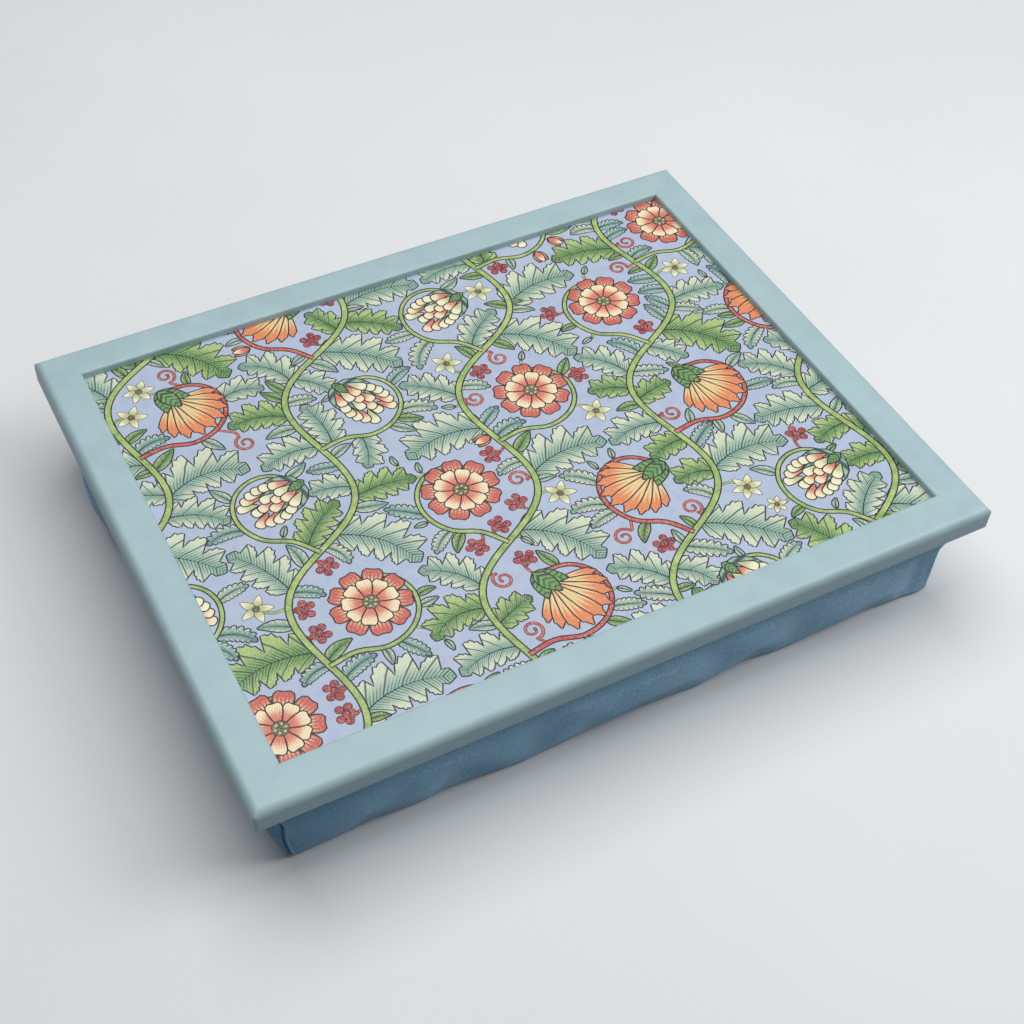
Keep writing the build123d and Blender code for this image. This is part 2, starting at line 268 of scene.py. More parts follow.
low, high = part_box("frame_rail_front")
rail_foot, rail_top = low.z, high.z
front_face = -low.y
end_face = -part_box("frame_rail_left")[0].x
tray_length, tray_width = 2 * end_face, 2 * front_face
paint = satin_paint()
for quarter, place in enumerate(("front", "right", "back", "left")):
    half_run, half_reach = (end_face, front_face) if quarter % 2 == 0 else (front_face, end_face)
    turn = quarter * math.pi / 2
    rail = add_rail(f"rail_{place}", turn, half_run, half_reach, rail_foot, rail_top - rail_foot, paint)
    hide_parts(f"frame_rail_{place}")
    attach(rail, "tray")


# Printed panel
# A laminate sheet pressed on the tray's board. Its print is a generic meandering garden in flat inks
# with a dark line round each shape, drawn here in millimetres and laid in as one flat mesh.

panel_low, panel_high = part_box("print_laminate")
panel_across, panel_up = (panel_high - panel_low).xy / mm

line_weight = 0.8
resin_depth = 0.02 * mm
seed = 7
grid_margin = 60
climb = np.exp(1j * math.radians(68))
wave_length, wave_height, stem_spacing = 152.0, 19.0, 102.0
stem_rows, crests = range(-3, 4), range(-4, 5)
stem_run = np.arange(-320, 330, 5.0)
branch_run = 40
stem_reach = 225 + 175j
flower_reach = 215 + 170j
fill_reach = 200 + 155j
flower_offset = 24.0
flower_sizes = (45.0, 45.0, 43.0)
coil_start = 33
lobed_share = 0.84
fruit_spread = ((0.62, 0.75), (0.66, -0.75), (0.95, 0.32), (0.98, -0.3), (0.6, 0.0))
layers = {name: [] for name in ("stalks", "leaves", "stems", "flowers")}
shapes = []
stems = []
free = np.ones((int(panel_across) + grid_margin, int(panel_up) + grid_margin), bool)
middle = (free.shape[0] + 1j * free.shape[1]) / 2
chance = np.random.default_rng(seed)


def way_of(heading):
    """A heading in radians as a direction in the plane."""
    return np.exp(1j * heading)


def bent(plane, turn):
    """A straight plane rolled round by a turn, so that its middle line becomes an arc."""
    return plane if abs(turn) < 0.01 else (np.exp(1j * turn * plane) - 1) / (1j * turn)


def lay(plane, ink, base=0j, axis=1 + 0j, turn=0.0, line=line_weight, grade=1.0):
    """Lays one inked shape over what is drawn. Its outline is in shares of its axis."""
    outline = base + axis * bent(plane, turn)
    if np.all(abs(outline.real) > panel_across / 2) or np.all(abs(outline.imag) > panel_up / 2):
        return
    if np.sum((np.conj(outline) * np.roll(outline, -1)).imag) < 0:
        outline = outline[::-1]
    if line:
        ahead = np.roll(outline, -1) - np.roll(outline, 1)
        edge = outline - 1j * line * ahead / np.maximum(abs(ahead), 1e-6)
        shapes.append((edge, "print_line", base, axis, turn, grade))
    shapes.append((outline, ink, base, axis, turn, grade))


def smooth(points, count):
    """A smooth line through a few points."""
    points = np.array(points, complex)
    ends = np.concatenate([[2 * points[0] - points[1]], points, [2 * points[-1] - points[-2]]])
    share = np.arange(count)[:, None] / count
    a, b, c, d = ends[:-3], ends[1:-2], ends[2:-1], ends[3:]
    line = b + 0.5 * share * (c - a + share * (2 * a - 5 * b + 4 * c - d + share * (3 * (b - c) + d - a)))
    return np.append(line.T.reshape(-1), points[-1])


def brush(line, width, taper, ink, edge=line_weight):
    """A drawn line that thins to a share of its width."""
    ahead = np.gradient(line)
    side = 1j * ahead / np.maximum(abs(ahead), 1e-6) * width / 2 * np.linspace(1, taper, len(line))
    lay(np.concatenate([line - side, (line + side)[::-1]]), ink, line=edge)


def mirrored(edge):
    """A closed outline from one edge that runs from the base to the tip."""
    return np.concatenate([np.conj(edge), edge[::-1]])


def lobed_edge(lobes, width, cusps):
    """One edge of a leaf whose rounded lobes carry small cusps and sweep towards its tip."""
    points = [0.0]
    step = lobed_share / lobes
    for lobe in range(lobes):
        start = 0.02 + lobe * step
        reach = width * math.sin(math.pi * (0.2 + 0.62 * (lobe + 0.5) / lobes)) ** 0.9
        points += [start + step * share + 1j * reach * height for share, height in cusps]
    points += [0.86 + 0.26j * width, 0.93 + 0.3j * width]
    return smooth(points + [1.0], 2)


def plain_edge(width, count=7):
    """One edge of a plain pointed leaf."""
    share = np.linspace(0, 1, count)
    return share + 1j * width * np.sin(math.pi * share**0.8) ** 0.9


def petal_edge(width, notch, fringe=0.0, count=8):
    """One edge of a petal, broadest near its tip."""
    share = np.linspace(0, 1, count)
    along = np.sin(0.5 * math.pi * share) ** 1.15
    across = width * np.sin(math.pi * (0.05 + 0.95 * share)) ** 0.75 * (0.35 + 0.65 * along)
    along = along * (1 - notch * share**8)
    along[-3:] += fringe * np.array((0.5, -1, 1))
    return along + 1j * across


acanthus_cusps = ((0.08, 0.44), (0.3, 0.8), (0.42, 0.8), (0.56, 1.0), (0.66, 0.93), (0.92, 1.02))
leaf_edges = {
    "acanthus": lobed_edge(4, 0.3, acanthus_cusps),
    "vine": lobed_edge(3, 0.36, ((0.08, 0.5), (0.3, 0.9), (0.55, 0.9), (0.9, 1.04))),
    "fern": lobed_edge(6, 0.2, ((0.1, 0.5), (0.5, 0.95), (0.95, 1.05))),
    "willow": plain_edge(0.19),
}
leaf_veins = {"acanthus": 4 / lobed_share, "vine": 3 / lobed_share, "fern": 6 / lobed_share, "willow": 5.0}
cup = plain_edge(0.24)


def add_leaf(base, heading, length, turn, kind, ink):
    """A leaf with its midrib."""
    axis = length * way_of(heading - 0.5 * turn)
    lay(mirrored(leaf_edges[kind]), ink, base, axis, turn, grade=leaf_veins[kind])
    rib = np.linspace(-0.02, 0.88, 7)
    half = 0.42 / length * np.linspace(1, 0.3, 7)
    lay(np.concatenate([rib - 1j * half, (rib + 1j * half)[::-1]]), "print_line", base, axis, turn, 0)


def add_disc(centre, radius, ink, count=10, line=0.36):
    """A round spot."""
    lay(way_of(2 * math.pi * np.arange(count) / count), ink, centre, radius + 0j, line=line)


def add_dahlia(centre, heading, size):
    """A double flower: two rings of petals round a spotted eye."""
    for reach, offset, ink, width in ((0.485, 0, "petal_red", 0.3), (0.325, 0.5, "petal_blush", 0.34)):
        for k in (0, 2, 4, 6, 8, 1, 3, 5, 7):
            way = way_of(heading + 2 * math.pi * (k + offset) / 9)
            lay(mirrored(petal_edge(width, 0.07)), ink, centre + 0.03 * size * way, reach * size * way)
    add_disc(centre, 0.1 * size, "flower_eye", 14)
    for k in range(6):
        add_disc(centre + 0.062 * size * way_of(math.pi * k / 3), 0.018 * size, "petal_cream", 6, 0)


def add_pink(foot, heading, size):
    """A fan of fringed petals over a green cup."""
    way = way_of(heading)
    for k in (-4, 4, -3, 3, -2, 2, -1, 1, 0):
        axis = size * (0.76 - 0.012 * k * k) * way * way_of(0.25 * k)
        lay(mirrored(petal_edge(0.135, 0, 0.05)), "petal_orange", foot + 0.22 * size * way, axis)
    for k in (-1, 1, 0):
        axis = 0.42 * size * way * way_of(0.36 * k)
        lay(mirrored(cup), "leaf_green", foot - 0.02 * size * way, axis, 0.3 * k)


def add_cone(foot, heading, size):
    """A hop cone: rows of overlapping scales over two bracts."""
    way = way_of(heading)
    for side in (-1, 1):
        axis = 0.72 * size * way * way_of(0.75 * side)
        lay(mirrored(leaf_edges["willow"]), "leaf_sage", foot, axis, -0.9 * side)
    for row in reversed(range(6)):
        spread = 0.21 * size * math.sin(math.pi * (0.2 + 0.13 * row))
        across = np.linspace(-1, 1, (4, 3, 4, 3, 3, 2)[row])
        for k, place in enumerate(across):
            root = foot + way * (0.12 * size + 0.11 * size * row + 1j * place * spread)
            ink = "petal_cream" if (row + k) % 2 else "petal_blush"
            lay(mirrored(petal_edge(0.3, 0)), ink, root, 0.27 * size * way * way_of(0.42 * place))
    lay(mirrored(cup), "leaf_green", foot - 0.03 * size * way, 0.26 * size * way)


def add_star(root, centre, size):
    """A small pale flower with pointed petals."""
    petals = 5 + chance.integers(2)
    for k in range(petals):
        lay(mirrored(cup), "petal_cream", centre, size * way_of(1 + 2 * math.pi * k / petals), 0.0, 0.36)
    add_disc(centre, 0.2 * size, "flower_eye", 8)


def add_fruit(root, centre, size):
    """A bunch of plain round berries on red stalks."""
    heading = np.angle(centre - root)
    base = centre - size * way_of(heading)
    spots = [base + 1.55 * size * reach * way_of(heading + swing) for reach, swing in fruit_spread]
    for spot in spots:
        brush(np.array([base, (base + spot) / 2, spot]), 0.9, 0.8, "stem_red", 0.3)
    for spot in spots:
        add_disc(spot, 0.33 * size, "berry", 12, 0.4)


def add_bud(root, centre, size):
    """A closed bud."""
    heading = np.angle(centre - root)
    for k in (-1, 1, 0):
        axis = 2 * size * way_of(heading + 0.3 * k)
        lay(mirrored(cup), "petal_red" if k else "petal_blush", centre - size * way_of(heading), axis)


def add_scroll(root, centre, size):
    """A red tendril that winds in on itself and ends in a bead."""
    share = np.linspace(0, 1, 20)
    line = centre + size * (1 - 0.75 * share) * way_of(np.angle(root - centre) + 8.0 * share)
    brush(line, 1.4, 0.6, "stem_red", 0.36)
    add_disc(line[-1], 0.13 * size, "stem_red", 8)


def add_sprout(root, centre, size):
    """One small leaf at the end of its stalk."""
    heading = np.angle(centre - root)
    base = centre - size * way_of(heading)
    add_leaf(base, heading, 2 * size, chance.uniform(-0.6, 0.6), "willow", "leaf_sage")


def cells(points):
    """The grid cells that points lie in."""
    placed = points + middle
    across = np.clip(placed.real.astype(int), 0, len(free) - 1)
    return across, np.clip(placed.imag.astype(int), 0, free.shape[1] - 1)


def claim(points, margin=1.0):
    """Marks the cells of some points and of a margin round them as taken."""
    for step in (-margin, 0, margin):
        for rise in (-1j * margin, 0, 1j * margin):
            free[cells(points + step + rise)] = False


def round_area(centre, radius):
    """Points all over a round area."""
    reach = np.linspace(0, radius, int(radius) + 2)
    return centre + reach[:, None] * way_of(np.linspace(0, 2 * math.pi, 50))


def leaf_area(edge, length, turn):
    """Points all over a leaf that grows from nought along the plane's own axis, its base left out."""
    along = np.linspace(0.2, 1.0, max(6, int(length / 1.6)))
    half = np.interp(along, edge.real, edge.imag)
    share = np.linspace(-1, 1, max(5, int(length * 0.35)))
    return length * bent(along[:, None] + 1j * half[:, None] * share, turn) * way_of(-0.5 * turn)


def plant_stem(line, width, taper, ink):
    """A stem that later leaves grow from."""
    layers["stems"].append((brush, (line, width, taper, ink)))
    claim(smooth(line, 4))
    stems.append(line)


def grow(kind, inks, lengths, gap, turns, angles):
    """Grows leaves along every stem, on both sides, wherever one of the lengths fits."""
    trials = []
    for side, length, angle, turn in itertools.product((1, -1), lengths, angles, turns):
        area = leaf_area(leaf_edges[kind], length, side * turn) * way_of(side * (angle + 0.5 * turn))
        trials.append((length, side * turn, side * angle, area))
    half = len(trials) // 2
    for line in stems:
        run = np.concatenate([[0], np.cumsum(abs(np.diff(line)))])
        ahead = np.gradient(line)
        for at in np.arange(gap / 2, run[-1], gap):
            spot = np.interp(at, run, line)
            way = np.interp(at, run, ahead)
            way = way / abs(way)
            for some in (trials[:half], trials[half:]):
                for length, turn, angle, area in some:
                    if free[cells(spot + way * area)].all():
                        claim(spot + way * area, 0.4)
                        heading = np.angle(way) + angle + 0.5 * turn
                        ink = inks[chance.integers(len(inks))]
                        layers["leaves"].append((add_leaf, (spot, heading, length, turn, kind, ink)))
                        break


def fill(motif, radius, gap, layer="flowers", stalk_ink="stem_green", stop_share=0.0):
    """Puts a small motif on a stalk wherever a round spot is still free."""
    for across in np.arange(-fill_reach.real, fill_reach.real + 1, gap):
        for up in np.arange(-fill_reach.imag, fill_reach.imag + 1, gap):
            centre = across + 1j * up + gap / 3 * (chance.uniform(-1, 1) + 1j * chance.uniform(-1, 1))
            area = round_area(centre, radius)
            if not free[cells(area)].all():
                continue
            claim(area, 0.4)
            nearest = [line[abs(line - centre).argmin()] for line in stems]
            root = min(nearest, key=lambda near: abs(near - centre))
            knee = root + (centre - root) * (0.5 + 0.18j)
            end = centre + stop_share * radius * way_of(np.angle(knee - centre))
            layers["stalks"].append((brush, (smooth([root, knee, end], 5), 1.2, 1.0, stalk_ink, 0.34)))
            layers[layer].append((motif, (knee, centre, radius)))


def on_wave(row, along, aside=0.0):
    """A place beside one of the climbing stems."""
    wave = wave_height * np.sin(2 * math.pi * along / wave_length)
    return row * stem_spacing * climb / 1j + climb * (along + 1j * (wave + aside))


def within(places, reach):
    """Which places lie within a reach of the panel's middle, across and up."""
    return (abs(places.real) <= reach.real) & (abs(places.imag) <= reach.imag)


for row in stem_rows:
    line = on_wave(row, stem_run)
    line = line[within(line, stem_reach)]
    if len(line) > 4:
        plant_stem(line, 3.0, 1.0, "stem_green")

for row in stem_rows:
    for step in crests:
        crest = (step + 0.5) * wave_length / 2
        side = 1 if step % 2 == 0 else -1
        centre = on_wave(row, crest, -side * (flower_offset + wave_height))
        if not within(centre, flower_reach):
            continue
        kind = (row + 2 * step + step // 2) % 3
        size = flower_sizes[kind]
        root = on_wave(row, crest - branch_run)
        start = np.angle((root - centre) / climb)
        share = np.linspace(0, 1, 9)
        radius = coil_start + (0.32 * size - coil_start) * share
        coil = centre + climb * radius * way_of(start + side * (0.25 + 4.05 * share))
        branch = smooth([root, *coil], 4)
        heading = np.angle(centre - coil[-1]) + 0.2 * side
        foot = centre - 0.42 * size * way_of(heading)
        if kind == 0:
            layers["flowers"].append((add_dahlia, (centre, row, size)))
            claim(round_area(centre, size / 2))
        else:
            branch = np.append(branch[:-5], foot)
            layers["flowers"].append((add_pink if kind == 1 else add_cone, (foot, heading, size)))
            claim(round_area(foot + 0.55 * size * way_of(heading), size * (0.46 if kind == 1 else 0.36)))
        plant_stem(branch, 2.1, 0.75, "stem_red" if kind == 1 else "stem_green")

grow("acanthus", ("leaf_green", "leaf_sage", "leaf_sage"), (52, 44, 37), 15, (1.0, 0.6, 1.4), (0.9, 0.6, 1.2))
fill(add_star, 9.6, 10)
grow("vine", ("leaf_sage", "leaf_green"), (38, 31, 26), 10, (0.7, 0.3, 1.1), (0.8, 0.5, 1.2))
fill(add_scroll, 6.3, 12, stalk_ink="stem_red", stop_share=1.0)
fill(add_fruit, 6.4, 9, stalk_ink="stem_red")
grow("fern", ("leaf_blue", "leaf_sage"), (32, 27, 23, 19), 6, (0.7, 0.2, 1.1), (0.7, 0.4, 1.1))
fill(add_star, 6.4, 6)
fill(add_bud, 5.2, 6)
grow("willow", ("leaf_green", "leaf_sage"), (20, 16, 12, 9), 3.5, (0.6, 0.0), (0.8, 0.5, 1.1))
fill(add_sprout, 4.0, 3.5, "leaves")
for jobs in layers.values():
    for motif, given in jobs:
        motif(*given)


def flat_print():
    """Flattens the overlapping shapes: the corners, the triangles and the shape seen in each."""
    corner = complex(panel_across, panel_up) / 2
    sheet_outline = np.array([-corner, corner.conjugate(), corner, -corner.conjugate()])
    outlines = [sheet_outline] + [shape[0] for shape in shapes]
    points = [(float(p.real), float(p.imag)) for outline in outlines for p in outline]
    ends = np.cumsum([len(outline) for outline in outlines])
    rings = [list(range(end - len(outline), end)) for end, outline in zip(ends, outlines)]
    corners, _, triangles, _, _, sources = geometry.delaunay_2d_cdt(
        [Vector(point) for point in points], [], rings, 1, 1e-5
    )
    shown = [(triangle, max(source)) for triangle, source in zip(triangles, sources) if 0 in source]
    return np.array(corners), shown


def printed_ink(name, deep, light, marks, line_tone, grain_share):
    """Ink on paper under resin, with drawn strokes and a pencil-like grain."""
    deep, light, line_tone = srgb(*deep), srgb(*light), srgb(*line_tone)
    ink, tree, shader, place = start_finish(name, 0.46, Specular_IOR_Level=0.4)
    chart = place_on_chart(tree, "print_chart")
    parts = add_node(tree, "ShaderNodeSeparateXYZ", {"Vector": chart})
    along = parts.outputs["X"]
    aside = sums(tree, "ABSOLUTE", parts.outputs["Y"])
    fine = grain(tree, place, 1300, 2, 0.7)
    if marks == "leaf":
        vein = sums(tree, "SUBTRACT", along, sums(tree, "MULTIPLY_ADD", aside, 0.85, 0.16))
        main = ramp(tree, sums(tree, "PINGPONG", vein, 0.5), 0.03, 0.07, 1.0, 0.0)
        hatch = sums(tree, "PINGPONG", sums(tree, "MULTIPLY", vein, 5.0), 0.5)
        hatch = ramp(tree, hatch, 0.12, 0.24, 0.8, 0.0)
        hatch = sums(tree, "MULTIPLY", hatch, ramp(tree, aside, 0.3, 0.75, 1.0, 0.0))
        strokes = sums(tree, "MAXIMUM", main, hatch)
        tone = ramp(tree, aside, 0.1, 1.0)
    elif marks == "petal":
        spread = sums(tree, "DIVIDE", aside, sums(tree, "ADD", along, 0.12))
        zigzag = sums(tree, "PINGPONG", sums(tree, "MULTIPLY", spread, 9.0), 0.5)
        rays = ramp(tree, zigzag, 0.08, 0.2, 0.85, 0.0)
        strokes = sums(tree, "MULTIPLY", rays, ramp(tree, along, 0.2, 0.62, 1.0, 0.0))
        tone = ramp(tree, sums(tree, "MULTIPLY_ADD", zigzag, 0.55, along), 0.62, 0.86)
    else:
        strokes = 0.0
        tone = ramp(tree, grain(tree, place, 160, 3), 0.3, 0.7)
    colour = blend(tree, tone, deep, light)
    colour = blend(tree, ramp(tree, fine, 0.5, 0.72, 0.0, grain_share), colour, srgb(232, 234, 222))
    colour = blend(tree, ramp(tree, fine, 0.28, 0.5, grain_share, 0.0), colour, deep)
    if marks != "plain":
        colour = blend(tree, sums(tree, "MULTIPLY", strokes, 0.85), colour, line_tone)
    end_finish(tree, shader, colour, grain(tree, place, 900, 3), resin_depth, 0.35)
    return ink


plain_line, red_line, wine_line = (46, 50, 62), (178, 52, 50), (110, 22, 36)
ink_tones = (
    ("print_ground", (172, 184, 208), (181, 193, 214), "plain", plain_line, 0.16),
    ("print_line", (24, 26, 34), (34, 36, 46), "plain", plain_line, 0.1),
    ("leaf_sage", (136, 178, 158), (214, 220, 192), "leaf", plain_line, 0.5),
    ("leaf_green", (96, 148, 70), (172, 194, 120), "leaf", plain_line, 0.5),
    ("leaf_blue", (104, 154, 150), (176, 206, 184), "leaf", plain_line, 0.5),
    ("petal_red", (240, 222, 172), (196, 52, 48), "petal", wine_line, 0.5),
    ("petal_blush", (222, 122, 96), (246, 232, 190), "petal", red_line, 0.5),
    ("petal_orange", (240, 214, 150), (226, 118, 62), "petal", red_line, 0.5),
    ("petal_cream", (206, 206, 150), (244, 238, 204), "petal", plain_line, 0.5),
    ("flower_eye", (80, 74, 50), (112, 100, 62), "plain", plain_line, 0.5),
    ("berry", (140, 30, 48), (188, 62, 66), "plain", plain_line, 0.5),
    ("stem_red", (182, 58, 52), (216, 104, 84), "plain", plain_line, 0.5),
    ("stem_green", (128, 160, 74), (184, 204, 116), "plain", plain_line, 0.5),
)
inks = {name: printed_ink(name, *tones) for name, *tones in ink_tones}


def add_print():
    """The sheet: the flattened print on top, with its edges and its back closed below."""
    corners, shown = flat_print()
    kinds = {name: index for index, name in enumerate(inks)}
    axes = np.array([(0, 1, 0, 1)] + [(base, axis, turn, grade) for _, _, base, axis, turn, grade in shapes])
    slots = [0] + [kinds[shape[1]] for shape in shapes]
    flat = corners[:, 0] + 1j * corners[:, 1]
    points = [(x * mm, y * mm, panel_high.z) for x, y in corners]
    sheet = add_piece("print_sheet", points, [triangle for triangle, _ in shown], list(inks.values()))
    sheet.data.polygons.foreach_set("material_index", [slots[top] for _, top in shown])
    loops = np.array([loop.vertex_index for loop in sheet.data.loops])
    tops = np.repeat([top for _, top in shown], 3)
    base, axis, turn, grade = axes[tops].T
    chart = (flat[loops] - base) / axis
    curved = abs(turn) > 0.01
    turn = np.where(curved, turn, 1)
    chart = np.where(curved, np.log(1 + 1j * turn * chart) / (1j * turn), chart) * grade
    chart_map = sheet.data.uv_layers.new(name="print_chart")
    chart_map.uv.foreach_set("vector", np.stack([chart.real, chart.imag], 1).astype(np.float32).reshape(-1))
    solid = bmesh.new()
    solid.from_mesh(sheet.data)
    bmesh.ops.delete(solid, geom=[corner for corner in solid.verts if not corner.link_faces], context="VERTS")
    rim = [edge for edge in solid.edges if edge.is_boundary]
    below = bmesh.ops.extrude_edge_only(solid, edges=rim)["geom"]
    for corner in below:
        if isinstance(corner, bmesh.types.BMVert):
            corner.co.z = panel_low.z
    bmesh.ops.contextual_create(solid, geom=[part for part in below if isinstance(part, bmesh.types.BMEdge)])
    bmesh.ops.recalc_face_normals(solid, faces=solid.faces)
    solid.to_mesh(sheet.data)
    solid.free()
    return sheet


print_sheet = add_print()
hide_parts("print_laminate")
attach(print_sheet, "tray")


# Panel boards and fasteners
# Fibreboard with a balancing laminate on its back lies in the rebate under the printed face. Steel
# V-nails, framer's points, screws and staples hold frame, panel and cushion board together.

fibre_depth, laminate_depth, drawn_depth = 0.1 * mm, 0.05 * mm, 0.02 * mm


def fibreboard(name, ground, fibre, fleck):
    """Pressed wood fibre, matted and flecked."""
    board, tree, shader, place = start_finish(name, 0.85, Specular_IOR_Level=0.25)
    mat = grain(tree, stretched(tree, place, (900, 1400, 900)), 1, 4, 0.7)
    colour = blend(tree, ramp(tree, mat, 0.3, 0.7), ground, fibre)
    flecks = ramp(tree, grain(tree, place, 2600, 1), 0.62, 0.7)
    colour = blend(tree, flecks, colour, fleck)
    end_finish(tree, shader, colour, mat, fibre_depth, 0.6)
    return board


def plain_laminate():
    """Off-white balancing laminate with a fine speckle."""
    laminate, tree, shader, place = start_finish("plain_laminate", 0.55)
    speckle = ramp(tree, grain(tree, place, 1800, 2), 0.4, 0.65)
    colour = blend(tree, speckle, srgb(226, 224, 214), srgb(204, 201, 190))
    end_finish(tree, shader, colour, grain(tree, place, 700, 3), laminate_depth, 0.4)
    return laminate


def drawn_metal(name, bright, dull, roughness, line_shares, patch_scale=500, line_depth=drawn_depth):
    """Metal with fine drawing lines, dulled in patches."""
    metal, tree, shader, place = start_finish(name, roughness, Metallic=1.0)
    lines = grain(tree, stretched(tree, place, line_shares), 1, 3, 0.6)
    patches = ramp(tree, grain(tree, place, patch_scale, 3), 0.35, 0.7)
    uneven = ramp(tree, lines, 0.3, 0.7, roughness * 0.8, roughness * 1.4)
    tree.links.new(uneven, shader.inputs["Roughness"])
    end_finish(tree, shader, blend(tree, patches, bright, dull), lines, line_depth, 0.5)
    return metal


def dress_node(name, finish):
    """Gives a carried-over solid its finish."""
    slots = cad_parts[name].material_slots
    for slot in slots:
        slot.material = finish


dress_node("tray_board", fibreboard("fibreboard", srgb(172, 139, 100), srgb(150, 117, 82), srgb(104, 78, 54)))
dress_node("cushion_board", fibreboard("hardboard", srgb(110, 78, 52), srgb(88, 60, 39), srgb(60, 40, 27)))
dress_node("backing_laminate", plain_laminate())
bright_steel = drawn_metal("fastener_steel", srgb(196, 197, 198), srgb(150, 151, 152), 0.34, (300, 300, 4000))
for fastener in ("corner_v_nails", "panel_points", "board_screws", "cover_staples"):
    dress_node(fastener, bright_steel)


# Cushion cover
# Faux suede: base and walls are cut in one piece and boxed by a sewn dart at each corner, and the
# strip above the zip is a second one. Both turn over the cushion board, where staples hold them.

cover_inset = 9 * mm
cover_thickness = 1 * mm
flange_width = 22 * mm
foot_roll = 6 * mm
foot_cut = 0.5 * mm
end_draw, side_draw, rear_draw = 8.6 * mm, 3.6 * mm, 2.5 * mm
end_swell, side_swell = 3.0 * mm, 2.4 * mm
corner_blend, foot_blend, board_blend = 9.0 * mm, 5.0 * mm, 1.1 * mm
board_grip = 16 * mm
window_half = 150 * mm
window_margin = 5.5 * mm
flat_half = 160.3 * mm
left_hump, left_hump_place, left_hump_spread = 6.6 * mm, 92 * mm, 30 * mm
right_hump, right_hump_place, right_hump_spread = 3.63 * mm, -46 * mm, 42 * mm
left_ripple_place, left_ripple_spread = -60 * mm, 90 * mm
ripples = {
    "front": (0.35 * mm, 31 * mm, 0.7),
    "left": (1.3 * mm, 24 * mm, -1.1),
    "right": (1.2 * mm, 27 * mm, 0.0),
    "rear": (1.1 * mm, 29 * mm, 2.0),
}
front_swing = 71 * mm
rear_fade = 18 * mm
foot_wave_rise = 14 * mm
left_waves = [(-205, 0.4), (-188, 0.6), (-172, 0.7), (-150, 1.6), (-124, 0.5), (-113, 1.5), (-104, 1.4)]
middle_waves = [(-85, 0.4), (-66, -0.3), (-27, 1.0), (5, 1.6), (45, 0.1), (79, 2.5), (95, 0.8)]
right_waves = [(108, 0.5), (141, 0.4), (166, 1.0), (195, -1.7)]
wave_places, wave_depths = np.transpose(left_waves + middle_waves + right_waves) * mm

teeth_low, teeth_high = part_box("zip_teeth_lower")[0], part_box("zip_teeth_upper")[1]
zip_height = (teeth_low.z + teeth_high.z) / 2
zip_face = teeth_low.y + cover_thickness
tape_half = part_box("zip_tape_upper")[1].z - zip_height
band_foot = zip_height - tape_half
band_top = zip_height + tape_half
shoulder_foot = rail_foot - 4 * mm
wall_foot = foot_roll - foot_cut
wall_heights = (wall_foot, 0.55 * band_foot, band_foot, zip_height, band_top, shoulder_foot, rail_foot)
draw_shares = (1, 0.66, 0.3, 0.15, 0, 0, 0)
right_shares = (0.76, 0.7, 0.68, 0.56, 0.14, 0, 0)
swell_shares = (0.7, 0.86, 0.95, 0.98, 1, 0.12, 0)
rear_shares = (1, 0.45, 0, 0, 0, 0, 0)
seam_places = (0.62, 0.8, 0.98)
seam_reach = 8
seam_width = 0.55 * mm
ridge_width = 0.8 * mm
ridge_gap = 1.3 * mm
seam_depth, ridge_height, zip_seam_depth = 1.1 * mm, 0.45 * mm, 0.6 * mm
seam_foot_fade, seam_top_fade = 7 * mm, 3 * mm
pucker_pitch = 4.2 * mm
pleat_place, pleat_width, pleat_depth = 187 * mm, 5 * mm, 1.3 * mm
tuck_depth, tuck_run = 1.6 * mm, 15 * mm
seam_stitch, stitch_gap_start, stitch_gap_end = 1.6 * mm, 0.2 * mm, 0.5 * mm
nap_depth = 0.25 * mm
# The painted shade at the cover's left end fades out between these two places, and the painted light rises
# from the second one to its mirror at the right end.
painted_shade_from, painted_shade_to = -198 * mm, -140 * mm
width_core = 112 * mm
length_count, width_count, outer_count, corner_count = 91, 65, 16, 27
seam_rows = (-3.5, -1.6, -0.9, -0.4, 0, 0.4, 0.9, 1.6, 3.5)
cloth_voxel, cloth_steps = 5 * mm, 20
cloth_settings = {
    "quality": 6,
    "mass": 0.3,
    "tension_stiffness": 22,
    "compression_stiffness": 12,
    "bending_stiffness": 4,
    "use_pressure": True,
    "uniform_pressure_force": 4,
    "shrink_min": -0.012,
    "vertex_group_mass": "held",
}
held_top, held_foot, held_band = 5 * mm, 1.2 * mm, 4 * mm
near_count, near_reach = 6, 2 * mm


